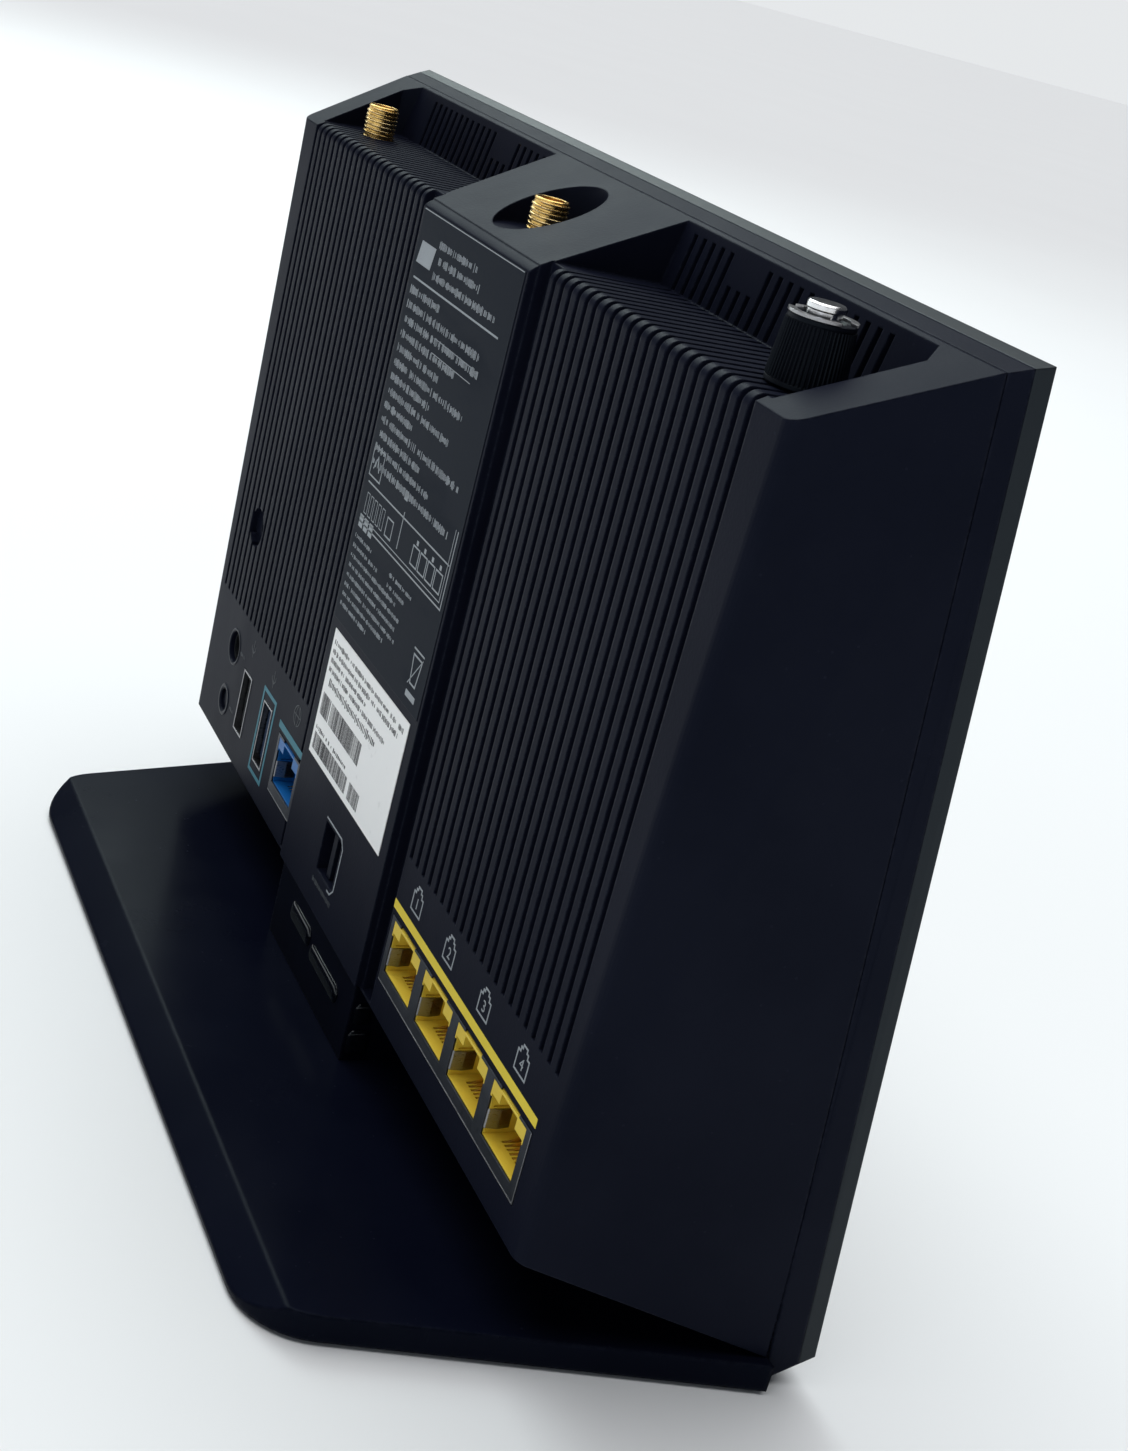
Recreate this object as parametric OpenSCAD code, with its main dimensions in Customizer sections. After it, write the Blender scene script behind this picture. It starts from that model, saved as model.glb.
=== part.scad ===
// Upright wireless router: a ribbed rear housing and a leaning front cover on a flat foot.
// +Z is up, the front faces -Y, and the origin is the bottom centre of the bounding box.

/* [Body] */
// Width across the top of the front panel
body_w = 220; // [216:1:224]
// Height of the front panel's top edge
body_h = 160; // [158:1:162]
// Depth from the chin to the back edge of the foot
body_d = 83.3; // [82:0.1:85]
// Half width lost between the top and the bottom of the front panel
side_taper = 5.8; // [4:0.1:7]
// Wall thickness of the moulded shells
wall = 2.4; // [2:0.1:2.6]
// Thickness of the patterned front panel
panel_t = 2.2; // [1.8:0.1:2.4]

/* [Ribs] */
// Number of cooling grooves on each side of the spine
groove_count = 22; // [18:1:22]
// Distance between neighbouring grooves
groove_pitch = 2.93; // [2.8:0.01:2.94]
// Width of one groove
groove_w = 1.2; // [0.8:0.1:1.4]
// Depth of one groove
groove_depth = 1.6; // [1:0.1:1.8]
// Height at which the grooves end above the sockets
groove_z = 49.3; // [46:0.1:52]

/* [Spine] */
// Half width of the central spine
spine_half = 23.4; // [22:0.1:23.6]
// How far the spine stands proud of the ribs
spine_proud = 1.4; // [1:0.1:1.6]
// Radius of the well round the middle antenna connector
well_r = 8.5; // [8:0.1:9]

/* [Sockets] */
// Distance between neighbouring network sockets
jack_pitch = 15.12; // [14.8:0.01:15.2]
// Width of a network plug's opening
jack_w = 11.7; // [11.6:0.05:11.9]
// Height of a network plug's opening below the latch notch
jack_h = 7.1; // [6.9:0.1:7.2]
// Depth of a network socket
jack_depth = 10.5; // [9:0.5:11]

/* [Antennas] */
// Distance of the outer antenna connectors from the middle
antenna_x = 85.2; // [84:0.1:86]
// Outer radius of the antenna thread
thread_r = 3.175; // [3.1:0.005:3.2]

/* [Foot] */
// Thickness of the foot with its cover
foot_t = 5.4; // [5.2:0.1:6]
// Radius of the foot's back corners
foot_corner_r = 14; // [10:1:18]
// Height of the rubber pads below the foot
pad_h = 0.8; // [0.6:0.1:1]

/* [Hidden] */

eps = 0.01;
gap = 0.15;               // clearance between moulded pieces of one body

// Side profile: the front panel leans back, the underside rises towards the rear.
front_y = -body_d / 2;
back_y = body_d / 2;
chin_z = 6.2;
lean_y = 22.95;           // how far the front's top edge lies behind the chin
rib_y = 8.6;              // plane of the rib tops
front_half_top = body_w / 2;
front_half_chin = front_half_top - side_taper;
rear_half_low = 94.8;
rear_low_z = 19.9;
rear_half_slope = 0.0469; // growth of the rear half width for each mm of height
seam_top = [-13.46, body_h - 2];
rear_top = [rib_y, body_h - 13.5];
rear_low = [rib_y, rear_low_z + 0.2];
seam_low = [-34.45, foot_t];
chin_low = [-34.45, pad_h];
front_top = [front_y + lean_y, body_h];
chin = [front_y, chin_z];
top_slope = (seam_top[1] - rear_top[1]) / (rear_top[0] - seam_top[0]);
under_slope = (rear_low[1] - seam_low[1]) / (rear_low[0] - seam_low[0]);

// Recesses on both sides of the spine's top, where the outer antennas stand.
floor_z = 147.3;
recess_wall_y = -10.7;
recess_wall_lean = 0.182;
edge_r = 2;
back_edge_r = 1.8;
rear_wall = groove_depth + 1.8;
channel = [spine_half + 0.2, 27.9, 2];    // inner side, outer side and depth beside the spine
groove_x0 = 29.8;
vent_count = 20;
vent_short = [5, 6, 7];

antenna_y = -1.8;
plain = 0.1;              // height of a connector's plain barrel above the floor
tail = 7;                 // how far a connector reaches below the floor
barrel_r = 3;
connector_top = 153.3;
collar_low = 147.5;
collar_top = 156.6;
stub_top = 158.6;

face_y = rib_y + 0.1;     // outer face of every socket
board_y = -9;
board_t = 1.6;
board_half = 92;
board_low = 23;
board_high = 139;
jack_low = 28.5;
shield_low = 26.1;
shield_high = 38.3;
lan_x = [for (i = [0:3]) -36.2 - i * jack_pitch];
wan_x = 33.7;
usb2_x = 65.2;
usb3_x = 50.1;
usb_z = 33.2;
usb_outer = [5.7, 13.2];
dc_place = [77.2, 40.8];
dc_r = 3.15;
power_place = [77.4, 28.6];
reset_place = [78.6, 66.9];
led_place = [0.2, 33.3];
side_button_z = [62, 80];
side_button_y = -13;
led_x = [-32:8:32];       // indicators along the bottom of the front
led_z = 20;
led_hole_r = 1.6;
post_places = [[-74, 131], [74, 131], [-86, 62], [88, 55]];
shell_color = [0.09, 0.10, 0.12];
dark_color = [0.05, 0.05, 0.06];
gold_color = [0.83, 0.66, 0.30];
steel_color = [0.72, 0.73, 0.75];

function lerp(a, b, t) = a + (b - a) * t;
function front_at(z) = front_y + (z - chin_z) * lean_y / (body_h - chin_z);
function half_front(z) = lerp(front_half_chin, front_half_top, (z - chin_z) / (body_h - chin_z));
function half_rear(z) = rear_half_low + (z - rear_low_z) * rear_half_slope;
function half_at(y, z) =
  lerp(half_rear(z), half_front(z), (rib_y - y) / (rib_y - front_at(z)));
function top_at(y) = seam_top[1] - (y - seam_top[0]) * top_slope;
function groove_x(i) = groove_x0 + i * groove_pitch;
function cover_inner(z) = front_at(z) + panel_t + 1.2;
function has(list, v) = len([for (e = list) if (e == v) 1]) > 0;

// Solid through [y, z] profile points, clockwise with +Y to the right, as wide at each
// point as the tapered body is there.
module body_loft(profile, inset = 0) {
  n = len(profile);
  half = [for (p = profile) half_at(p[0], p[1]) - inset];
  points = [for (side = [-1, 1]) for (i = [0:n - 1]) [side * half[i], profile[i][0], profile[i][1]]];
  ring = [for (i = [0:n - 1]) [i, (i + 1) % n, n + (i + 1) % n, n + i]];
  low_side = [for (i = [1:n - 2]) [0, i + 1, i]];
  high_side = [for (i = [1:n - 2]) [n, n + i, n + i + 1]];
  polyhedron(points, concat(ring, low_side, high_side));
}

module box(low, high) {
  translate(low) cube(high - low);
}

// Extrudes a [y, z] outline along X from one place to another.
module along_x(x0, x1) {
  translate([x0, 0, 0]) rotate([90, 0, 90]) linear_extrude(height = x1 - x0) children();
}

// Cylinder along Y from y0 to y1 at an [x, z] place.
module rod_y(place, r, y0, y1, fn = 48) {
  translate([place[0], y0, place[1]]) rotate([-90, 0, 0]) cylinder(r = r, h = y1 - y0, $fn = fn);
}

module rod_z(place, r, z0, z1, fn = 48) {
  translate([place[0], place[1], z0]) cylinder(r = r, h = z1 - z0, $fn = fn);
}

module both_sides() {
  children();
  mirror([1, 0, 0]) children();
}

// Rear housing: tapered shell, spine, ribs, antenna recesses and windows for the sockets.
module housing_cavity() {
  inner_y = rib_y - rear_wall;
  body_loft([[-17.5, floor_z - rear_wall], [inner_y, floor_z - rear_wall],
    [inner_y, rear_low[1] + wall - 0.6], [-37, seam_low[1] + wall - 0.4]], wall);
}

// The tapered block with its vertical back edges rounded.
module housing_block() {
  hull() for (a = [0:18:90]) {
    back = back_edge_r * (1 - sin(a));
    y = rib_y - back;
    body_loft([seam_top, [y, top_at(y)], [y, rear_low[1] - back * under_slope], seam_low],
      back_edge_r * (1 - cos(a)));
  }
}

module recess_cut() {
  intersection() {
    translate([0, 0, floor_z - 10]) linear_extrude(height = 40)
      polygon([[spine_half + 0.2, 12], [26, -12.8], [26.1, -14], [94, -14], [97.9, -9.5], [91.5, 12]]);
    along_x(20, 105) polygon([[12, floor_z], [recess_wall_y, floor_z],
      [recess_wall_y - (172 - 147.2) * recess_wall_lean, 172], [12, 172]]);
  }
}

module rib_edge_round() {
  y = rib_y - edge_r;
  z = floor_z - edge_r;
  difference() {
    box([spine_half + 0.2, y, z], [91.6, 13, z + edge_r + 2]);
    translate([20, y, z]) rotate([0, 90, 0]) cylinder(r = edge_r, h = 80, $fn = 48);
  }
}

module groove_cuts() {
  inner = rib_y - groove_depth;
  for (i = [0:groove_count - 1])
    along_x(groove_x(i) - groove_w / 2, groove_x(i) + groove_w / 2)
      polygon([[12, groove_z], [inner, groove_z], [inner, floor_z - groove_depth],
        [recess_wall_y, floor_z - groove_depth],
        [recess_wall_y, floor_z + 1], [12, floor_z + 1]]);
}

module vent_cuts() {
  for (i = [0:vent_count - 1]) {
    top = has(vent_short, i) ? 151.8 : 156.2;
    box([groove_x(i) - groove_w / 2, -18, 147.4], [groove_x(i) + groove_w / 2, -10, top]);
  }
}

module spine() {
  y = rib_y + spine_proud;
  inner = rib_y - rear_wall;
  start = [y - 4.6, top_at(y - 4.6)];
  corner = [y, top_at(y)];
  end = [y, top_at(y) - 0.8];
  edge = [for (t = [0:0.1:1]) lerp(lerp(start, corner, t), lerp(corner, end, t), t)];
  along_x(-spine_half, spine_half)
    polygon(concat([[inner, 143], [-12, 150], [-12, top_at(-12)]], edge, [[y, 20.9], [inner, 20.9]]));
}

module socket_windows() {
  box([lan_x[3] - 8.1, -1, shield_low - gap], [lan_x[0] + 7.6, 12, shield_high + gap]);
  box([wan_x - 7.3, -1, shield_low - gap], [wan_x + 7.3, 12, shield_high + gap]);
  for (x = [usb2_x, usb3_x])
    box([x - usb_outer[0] / 2 - gap, -1, usb_z - usb_outer[1] / 2 - gap],
      [x + usb_outer[0] / 2 + gap, 12, usb_z + usb_outer[1] / 2 + gap]);
  rod_y(dc_place, dc_r + 0.1, 0, 12);
  rod_y(power_place, 2.3, 0, 12);
  rod_y(reset_place, 1.6, 0, 12);
  rod_y(reset_place, 4, rib_y - groove_depth, 12);
  box([led_place[0] - 4.5, 0, led_place[1] - 4.8], [led_place[0] + 4.5, 12, led_place[1] + 4.8]);
}

module rear_housing() {
  color(shell_color) difference() {
    union() {
      difference() {
        housing_block();
        housing_cavity();
        both_sides() {
          recess_cut();
          rib_edge_round();
          groove_cuts();
          vent_cuts();
          box([channel[0], rib_y - channel[2], 20.6], [channel[1], 12, floor_z + 0.2]);
        }
      }
      spine();
      for (p = post_places) rod_y(p, 3, board_y, rib_y - rear_wall + eps);
    }
    rod_z([0, antenna_y], well_r, floor_z, 170);
    for (x = [-antenna_x, 0, antenna_x]) rod_z([x, antenna_y], barrel_r + 0.1, 130, 160);
    for (p = post_places) rod_y(p, 1.3, board_y - 1, 3);
    socket_windows();
    for (z = side_button_z)
      box([90, side_button_y - 3.2, z - 5.2], [120, side_button_y + 3.2, z + 5.2]);
  }
}

// Front cover: a deep frame behind the panel that runs down in front of the foot.
module front_cover() {
  panel_top = [front_top[0] + panel_t, body_h - 0.8];
  chin_back = [chin[0] + panel_t, chin_z - panel_t * (chin_z - chin_low[1]) / (chin_low[0] - chin[0])];
  color(shell_color) difference() {
    body_loft([panel_top, [seam_top[0] - gap, seam_top[1]], [seam_low[0] - gap, seam_low[1]],
      [chin_low[0], chin_low[1]], chin_back]);
    body_loft([[cover_inner(body_h - 5), body_h - 5], [-5, body_h - 5], [-20, 9], [cover_inner(9), 9]], 3);
    for (x = led_x) rod_y([x, led_z], led_hole_r, -45, -30, 24);
  }
  color(shell_color) for (x = [-36, 36]) rod_y([x, led_z + 4.5], 1.8, cover_inner(led_z + 4.5) - 0.4, -31.02);
}

module front_panel() {
  panel_top = [front_top[0] + panel_t - eps, body_h - 0.8];
  chin_back = [chin[0] + panel_t - eps, chin_z - panel_t * (chin_z - chin_low[1]) / (chin_low[0] - chin[0])];
  color([0.07, 0.08, 0.10]) difference() {
    body_loft([front_top, panel_top, chin_back, chin]);
    for (x = led_x) rod_y([x, led_z], led_hole_r, -45, -30, 24);
  }
}

// Light guide: a bar behind the front cover with one rod for each indicator.
module light_guide() {
  color([0.85, 0.88, 0.9, 0.6]) {
    box([-34, -35, led_z - 2], [34, -32.5, led_z + 2]);
    for (x = led_x) rod_y([x, led_z], led_hole_r - 0.1, -39.3, -34.9, 24);
  }
}

// Neck that joins the foot to the underside of the housing below the spine.
module stand_neck() {
  back = rib_y + spine_proud - 0.8;
  color(dark_color) along_x(-spine_half + 1, spine_half - 1)
    polygon([[-12, foot_t], [back, foot_t], [back, rear_low[1] + 0.4],
      [rib_y - 0.5, rear_low[1] + (-0.5) * under_slope - 0.2],
      [-12, rear_low[1] - (rib_y + 12) * under_slope - 0.2]]);
}

// Foot: a trapezium with round back corners and a bevelled back edge.
foot_half_front = half_at(chin_low[0], foot_t) + 2;
foot_half_back = 83.2;
function foot_half(y) = lerp(foot_half_front, foot_half_back, (y - chin_low[0]) / (back_y - chin_low[0]));

function foot_outline(inset) = let (
  slope = (foot_half(0) - foot_half(1)),
  steps = 10,
  r = foot_corner_r - inset,
  nx = 1 / sqrt(1 + slope * slope),
  cy = back_y - foot_corner_r,
  cx = foot_half(cy) - foot_corner_r / nx,
  turn = atan(slope),
  side = [for (i = [0:steps]) let (a = lerp(turn, 90, i / steps)) [cx + r * cos(a), cy + r * sin(a)]]
) concat([[foot_half(chin_low[0]) - inset / nx, chin_low[0] + 0.1 + inset]], side,
  [for (i = [steps:-1:0]) [-side[i][0], side[i][1]]],
  [[-foot_half(chin_low[0]) + inset / nx, chin_low[0] + 0.1 + inset]]);

module foot_shell() {
  color(dark_color) difference() {
    translate([0, 0, pad_h]) linear_extrude(height = foot_t - pad_h) polygon(foot_outline(0));
    linear_extrude(height = pad_h + 2) polygon(foot_outline(4));
    for (p = screw_places) rod_z(p, 1.3, 0, foot_t - 1.2);
    along_x(-body_w / 2, body_w / 2) polygon([[back_y, pad_h + 0.8], [back_y - 5.6, foot_t + eps],
      [back_y, foot_t + 5], [back_y + 1, foot_t + 5], [back_y + 1, pad_h + 0.8]]);
  }
}

pad_places = [[-66, 24], [66, 24], [-86, -24], [86, -24]];
screw_places = [[-16, 2], [16, 2], [-60, -27], [60, -27]];

module foot_cover() {
  color(dark_color) difference() {
    translate([0, 0, pad_h]) linear_extrude(height = 1.4) polygon(foot_outline(4.1));
    for (p = pad_places) rod_z(p, 6.1, 0, pad_h + 0.6);
    for (p = screw_places) rod_z(p, 1.6, 0, 5);
    for (p = screw_places) rod_z(p, 3.1, 0, pad_h + 0.7);
  }
}

module foot_pads() {
  color([0.12, 0.12, 0.12]) for (p = pad_places) rod_z(p, 6, 0, pad_h + 0.6);
}

// Pan-head screw along +Z with a cross recess.
module screw_up(head_r, shaft_r, head_h, length) {
  difference() {
    union() {
      cylinder(r = head_r, h = head_h, $fn = 32);
      cylinder(r = shaft_r, h = length, $fn = 24);
    }
    for (a = [0, 90]) rotate([0, 0, a]) translate([-head_r * 0.6, -0.25, -1])
      cube([head_r * 1.2, 0.5, 1 + head_h * 0.6]);
  }
}

module foot_screws() {
  color(steel_color) for (p = screw_places) translate([p[0], p[1], pad_h + 0.1])
    screw_up(2.9, 1.25, 0.6, 2.4);
}

// Labels on the spine.
spine_y = rib_y + spine_proud;

module label_film() {
  color([0.11, 0.12, 0.14]) box([-spine_half + 0.9, spine_y, 70.6], [spine_half - 0.9, spine_y + 0.12, 145]);
}

module barcode_sticker() {
  color([0.92, 0.93, 0.93]) box([-20.4, spine_y, 44.6], [20.4, spine_y + 0.12, 69]);
}

// Network sockets: shield can, moulded insert with shoulders beside the latch notch, contacts.
latch_half = 3;
shoulder_margin = 0.45;   // the insert shows this far beside the plug opening

function wire_x(x, i) = x + (i - 3.5) * 1.02;

module jack_shield(x0, x1, places) {
  color(steel_color) difference() {
    box([x0, board_y, shield_low], [x1, face_y, shield_high]);
    box([x0 + 0.3, board_y - 1, shield_low + 0.3], [x1 - 0.3, face_y - 0.3, shield_high - 0.3]);
    for (x = places) {
      box([x - jack_w / 2 - 0.15, 0, jack_low - 0.15],
        [x + jack_w / 2 + 0.15, 12, jack_low + jack_h - 0.6]);
      box([x - jack_w / 2 - shoulder_margin, 0, jack_low + jack_h - 0.65],
        [x + jack_w / 2 + shoulder_margin, 12, shield_high - 0.45]);
      box([x - latch_half - 0.5, 5.5, jack_low + jack_h], [x + latch_half + 0.5, 12, shield_high + 1]);
    }
  }
}

module jack_insert(x0, x1, places) {
  back = face_y - jack_depth;
  side = jack_w / 2;
  difference() {
    union() {
      box([x0 + 0.35, board_y, shield_low + 0.35], [x1 - 0.35, face_y - 0.35, shield_high - 0.35]);
      for (x = places)
        box([x - side - shoulder_margin + 0.05, 0, jack_low + jack_h - 0.55],
          [x + side + shoulder_margin - 0.05, face_y - 0.05, shield_high - 0.5]);
    }
    for (x = places) {
      box([x - side, back, jack_low], [x + side, 12, jack_low + jack_h]);
      box([x - latch_half, back, jack_low], [x + latch_half, 12, jack_low + jack_h + 1.8]);
      box([x - side - 0.3, back, jack_low + 4.6], [x + side + 0.3, face_y - 1, jack_low + 4.9]);
      for (i = [0:7])
        box([wire_x(x, i) - 0.3, back, jack_low - 0.6], [wire_x(x, i) + 0.3, face_y - 2.6, jack_low + 1]);
    }
  }
}

module jack_contacts(places) {
  back = face_y - jack_depth;
  color(gold_color) for (x = places) for (i = [0:7])
    along_x(wire_x(x, i) - 0.2, wire_x(x, i) + 0.2)
      polygon([[back, jack_low + 2.3], [back, jack_low + 1.9], [face_y - 3.2, jack_low - 0.6],
        [face_y - 2.7, jack_low - 0.6], [face_y - 2.9, jack_low - 0.2]]);
}

lan_span = [lan_x[3] - 7.95, lan_x[0] + 7.45];
wan_span = [wan_x - 7.15, wan_x + 7.15];

module lan_shield() { jack_shield(lan_span[0], lan_span[1], lan_x); }
module lan_insert() { color([0.93, 0.80, 0.22]) jack_insert(lan_span[0], lan_span[1], lan_x); }
module lan_contacts() { jack_contacts(lan_x); }
module wan_shield() { jack_shield(wan_span[0], wan_span[1], [wan_x]); }
module wan_insert() { color([0.08, 0.35, 0.75]) jack_insert(wan_span[0], wan_span[1], [wan_x]); }
module wan_contacts() { jack_contacts([wan_x]); }

// Upright USB sockets: a folded steel shell round a tongue.
module usb_shell(x) {
  low = [x - usb_outer[0] / 2, board_y, usb_z - usb_outer[1] / 2];
  high = [x + usb_outer[0] / 2, face_y, usb_z + usb_outer[1] / 2];
  color(steel_color) difference() {
    box(low, high);
    box([low[0] + 0.3, board_y + 3, low[2] + 0.3], [high[0] - 0.3, 12, high[2] - 0.3]);
  }
}

module usb_tongue(x) {
  box([x + 0.2, board_y + 3, usb_z - 5.4], [x + 2.0, face_y - 1.2, usb_z + 5.4]);
}

module usb2_shell() { usb_shell(usb2_x); }
module usb2_tongue() { color([0.85, 0.86, 0.88]) usb_tongue(usb2_x); }
module usb3_shell() { usb_shell(usb3_x); }
module usb3_tongue() { color([0.10, 0.35, 0.80]) usb_tongue(usb3_x); }

// Power inlet: a round barrel on a block, with its centre pin.
module dc_jack() {
  color(dark_color) difference() {
    union() {
      rod_y(dc_place, dc_r, -2, face_y - 1);
      box([dc_place[0] - 4.5, board_y, dc_place[1] - 4.5], [dc_place[0] + 4.5, 2, dc_place[1] + 4.5]);
    }
    rod_y(dc_place, 2.8, -5, 12);
  }
}

module dc_pin() {
  color(steel_color) rod_y(dc_place, 1.05, -4.99, face_y - 2.6);
}

// Push buttons: a cap in the wall with a collar behind it.
button_back = 2.4;

module round_button(place, r, face) {
  rod_y(place, r, button_back, face);
  rod_y(place, r + 1.2, button_back, button_back + 1.6);
}

module power_button() { color([0.14, 0.15, 0.17]) round_button(power_place, 2.15, face_y - 0.7); }
module reset_button() { color([0.14, 0.15, 0.17]) round_button(reset_place, 1.45, rib_y - 2.2); }

module led_button() {
  x = led_place[0];
  z = led_place[1];
  color(dark_color) {
    box([x - 4.3, button_back, z - 4.6], [x + 4.3, spine_y - 2.4, z + 4.6]);
    box([x - 0.4, button_back, z - 4.6], [x + 1.4, spine_y - 0.9, z + 4.6]);
    box([x - 5.5, button_back, z - 5.8], [x + 5.5, button_back + 1.6, z + 5.8]);
  }
}

module side_button(z) {
  outer = half_at(side_button_y, z);
  color([0.12, 0.13, 0.15]) {
    box([outer - 5.5, side_button_y - 3, z - 5], [outer + 0.3, side_button_y + 3, z + 5]);
    box([outer - 5.5, side_button_y - 4.4, z - 6.4], [outer - 3.9, side_button_y + 4.4, z + 6.4]);
  }
}

module wps_button() { side_button(side_button_z[0]); }
module wifi_button() { side_button(side_button_z[1]); }

// Switches on the boards behind the buttons.
module tact_switches() {
  travel = 0.75;
  color([0.7, 0.7, 0.7]) {
    for (p = [power_place, reset_place, led_place]) {
      box([p[0] - 3, board_y, p[1] - 3], [p[0] + 3, -4, p[1] + 3]);
      rod_y(p, 1.6, -4.01, button_back - travel, 24);
    }
    for (z = side_button_z) {
      outer = half_at(side_button_y, z);
      box([outer - 12, side_button_y - 3, z - 3], [outer - 8.5, side_button_y + 2.3, z + 3]);
      translate([outer - 8.51, side_button_y, z]) rotate([0, 90, 0])
        cylinder(r = 1.6, h = 3.01 - travel, $fn = 24);
    }
  }
}

// Antenna connectors: threaded barrels that stand through the recess floors and the well.
module antenna_connector(x) {
  base = floor_z;
  color(gold_color) difference() {
    union() {
      rod_z([x, antenna_y], barrel_r, base - tail, base + plain + eps);
      rod_z([x, antenna_y], thread_r, base + plain, connector_top);
      rod_z([x, antenna_y], 4.2, base - tail, base - tail + 1.4);
    }
    rod_z([x, antenna_y], 2.3, connector_top - 4.5, connector_top + 1);
  }
  color(gold_color) rod_z([x, antenna_y], 0.5, connector_top - 4.6, connector_top - 1, 24);
}

module connector_left() { antenna_connector(antenna_x); }
module connector_centre() { antenna_connector(0); }
module connector_right() { antenna_connector(-antenna_x); }

module antenna_nuts() {
  nut_top = floor_z - rear_wall - 0.8;
  color(steel_color) for (x = [-antenna_x, 0, antenna_x]) difference() {
    rod_z([x, antenna_y], 4.6, nut_top - 1.35, nut_top, 6);
    rod_z([x, antenna_y], barrel_r + 0.02, 130, 160);
  }
}

// Knurled collar left on the right-hand connector, with its bright rim and stub.
module antenna_collar() {
  color(dark_color) difference() {
    translate([-antenna_x, antenna_y, collar_low])
      cylinder(r1 = 5.4, r2 = 4.65, h = collar_top - collar_low, $fn = 64);
    rod_z([-antenna_x, antenna_y], thread_r + 0.07, 140, connector_top + 0.4);
    rod_z([-antenna_x, antenna_y], 2.63, 140, 170);
  }
}

module collar_ring() {
  color(steel_color) translate([-antenna_x, antenna_y, collar_top]) difference() {
    rotate_extrude($fn = 64) translate([3.5, 0]) square([1.1, 0.4]);
    rotate([0, 0, 200]) translate([0, -1.6, -1]) cube([8, 3.2, 3]);
    rotate([0, 0, 35]) translate([0, -1, -1]) cube([8, 2, 3]);
  }
}

module collar_stub() {
  color([0.85, 0.85, 0.87]) difference() {
    rod_z([-antenna_x, antenna_y], 2.55, connector_top + 0.02, stub_top);
    translate([-antenna_x, antenna_y, stub_top - 0.5]) difference() {
      cylinder(r = 4, h = 2, $fn = 48);
      translate([0, 0, -1]) cylinder(r1 = 3.55, r2 = 1.05, h = 2.5, $fn = 48);
    }
  }
}

// Coaxial leads from the connectors' tails down to the board.
module coax_leads() {
  r = 0.7;
  top = floor_z - tail;
  for (x = [-antenna_x, 0, antenna_x]) {
    foot = x * 0.72;
    color([0.2, 0.2, 0.2]) {
      rod_z([x, antenna_y], r, 126, top, 24);
      translate([x, antenna_y, 126]) sphere(r = r, $fn = 24);
      if (x != 0) translate([min(x, foot), antenna_y, 126]) rotate([0, 90, 0])
        cylinder(r = r, h = abs(x - foot), $fn = 24);
      translate([foot, antenna_y, 126]) sphere(r = r, $fn = 24);
      rod_y([foot, 126], r, board_y, antenna_y, 24);
    }
  }
}

// Boards and what they carry.
module main_board() {
  color([0.05, 0.30, 0.16]) difference() {
    box([-board_half, board_y - board_t, board_low], [board_half, board_y, board_high]);
    for (p = post_places) rod_y(p, 1.5, -20, 0);
  }
}

module board_screws() {
  color(steel_color) for (p = post_places) translate([p[0], board_y - board_t - 1.6, p[1]])
    rotate([-90, 0, 0]) screw_up(2.6, 1.25, 1.6, 9);
}

module processor_chips() {
  color([0.08, 0.08, 0.08]) {
    for (x = [-45, 0, 42]) box([x - 9, board_y - board_t - 1.3, 76], [x + 9, board_y - board_t, 94]);
    for (x = [-22, 22]) box([x - 6, board_y - board_t - 1.1, 58], [x + 6, board_y - board_t, 68]);
  }
}

module heat_sink() {
  back = board_y - board_t - 1.35;
  color([0.75, 0.76, 0.78]) {
    box([-62, back - 1.8, 70], [62, back, 112]);
    for (x = [-60:5:60]) box([x - 0.5, back - 5.4, 70], [x + 0.5, back - 1.79, 112]);
  }
}

module shield_cans() {
  color(steel_color) for (x = [-52, 0, 50]) difference() {
    box([x - 19, board_y, 84], [x + 19, board_y + 4, 114]);
    box([x - 18.7, board_y - 1, 84.3], [x + 18.7, board_y + 3.7, 113.7]);
  }
}

module magnetics() {
  color([0.08, 0.08, 0.08]) {
    for (x = [-74, -44]) box([x - 9, board_y, 44], [x + 9, board_y + 6, 54]);
    box([25, board_y, 44], [41, board_y + 6, 54]);
  }
}

module capacitors() {
  color([0.15, 0.16, 0.25]) for (p = [[54, 52], [66, 52], [60, 64]]) {
    rod_y(p, 4, board_y, board_y + 11);
    rod_y(p, 3.4, board_y + 10.9, board_y + 11.4);
  }
}

module status_board() {
  color([0.05, 0.30, 0.16]) box([-40, -31, 12], [40, -29.8, 27]);
}

module status_leds() {
  color([0.9, 0.95, 1]) for (x = led_x) box([x - 1, -32.3, led_z - 0.8], [x + 1, -31, led_z + 0.8]);
}

rear_housing();
front_cover();
front_panel();
light_guide();
stand_neck();
foot_shell();
foot_cover();
foot_pads();
foot_screws();
label_film();
barcode_sticker();
lan_shield();
lan_insert();
lan_contacts();
wan_shield();
wan_insert();
wan_contacts();
usb2_shell();
usb2_tongue();
usb3_shell();
usb3_tongue();
dc_jack();
dc_pin();
power_button();
reset_button();
led_button();
wps_button();
wifi_button();
tact_switches();
connector_left();
connector_centre();
connector_right();
antenna_nuts();
antenna_collar();
collar_ring();
collar_stub();
coax_leads();
main_board();
board_screws();
heat_sink();
processor_chips();
shield_cans();
magnetics();
capacitors();
status_board();
status_leds();
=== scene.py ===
import math

import bmesh
import bpy
from mathutils import Matrix, Vector


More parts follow.
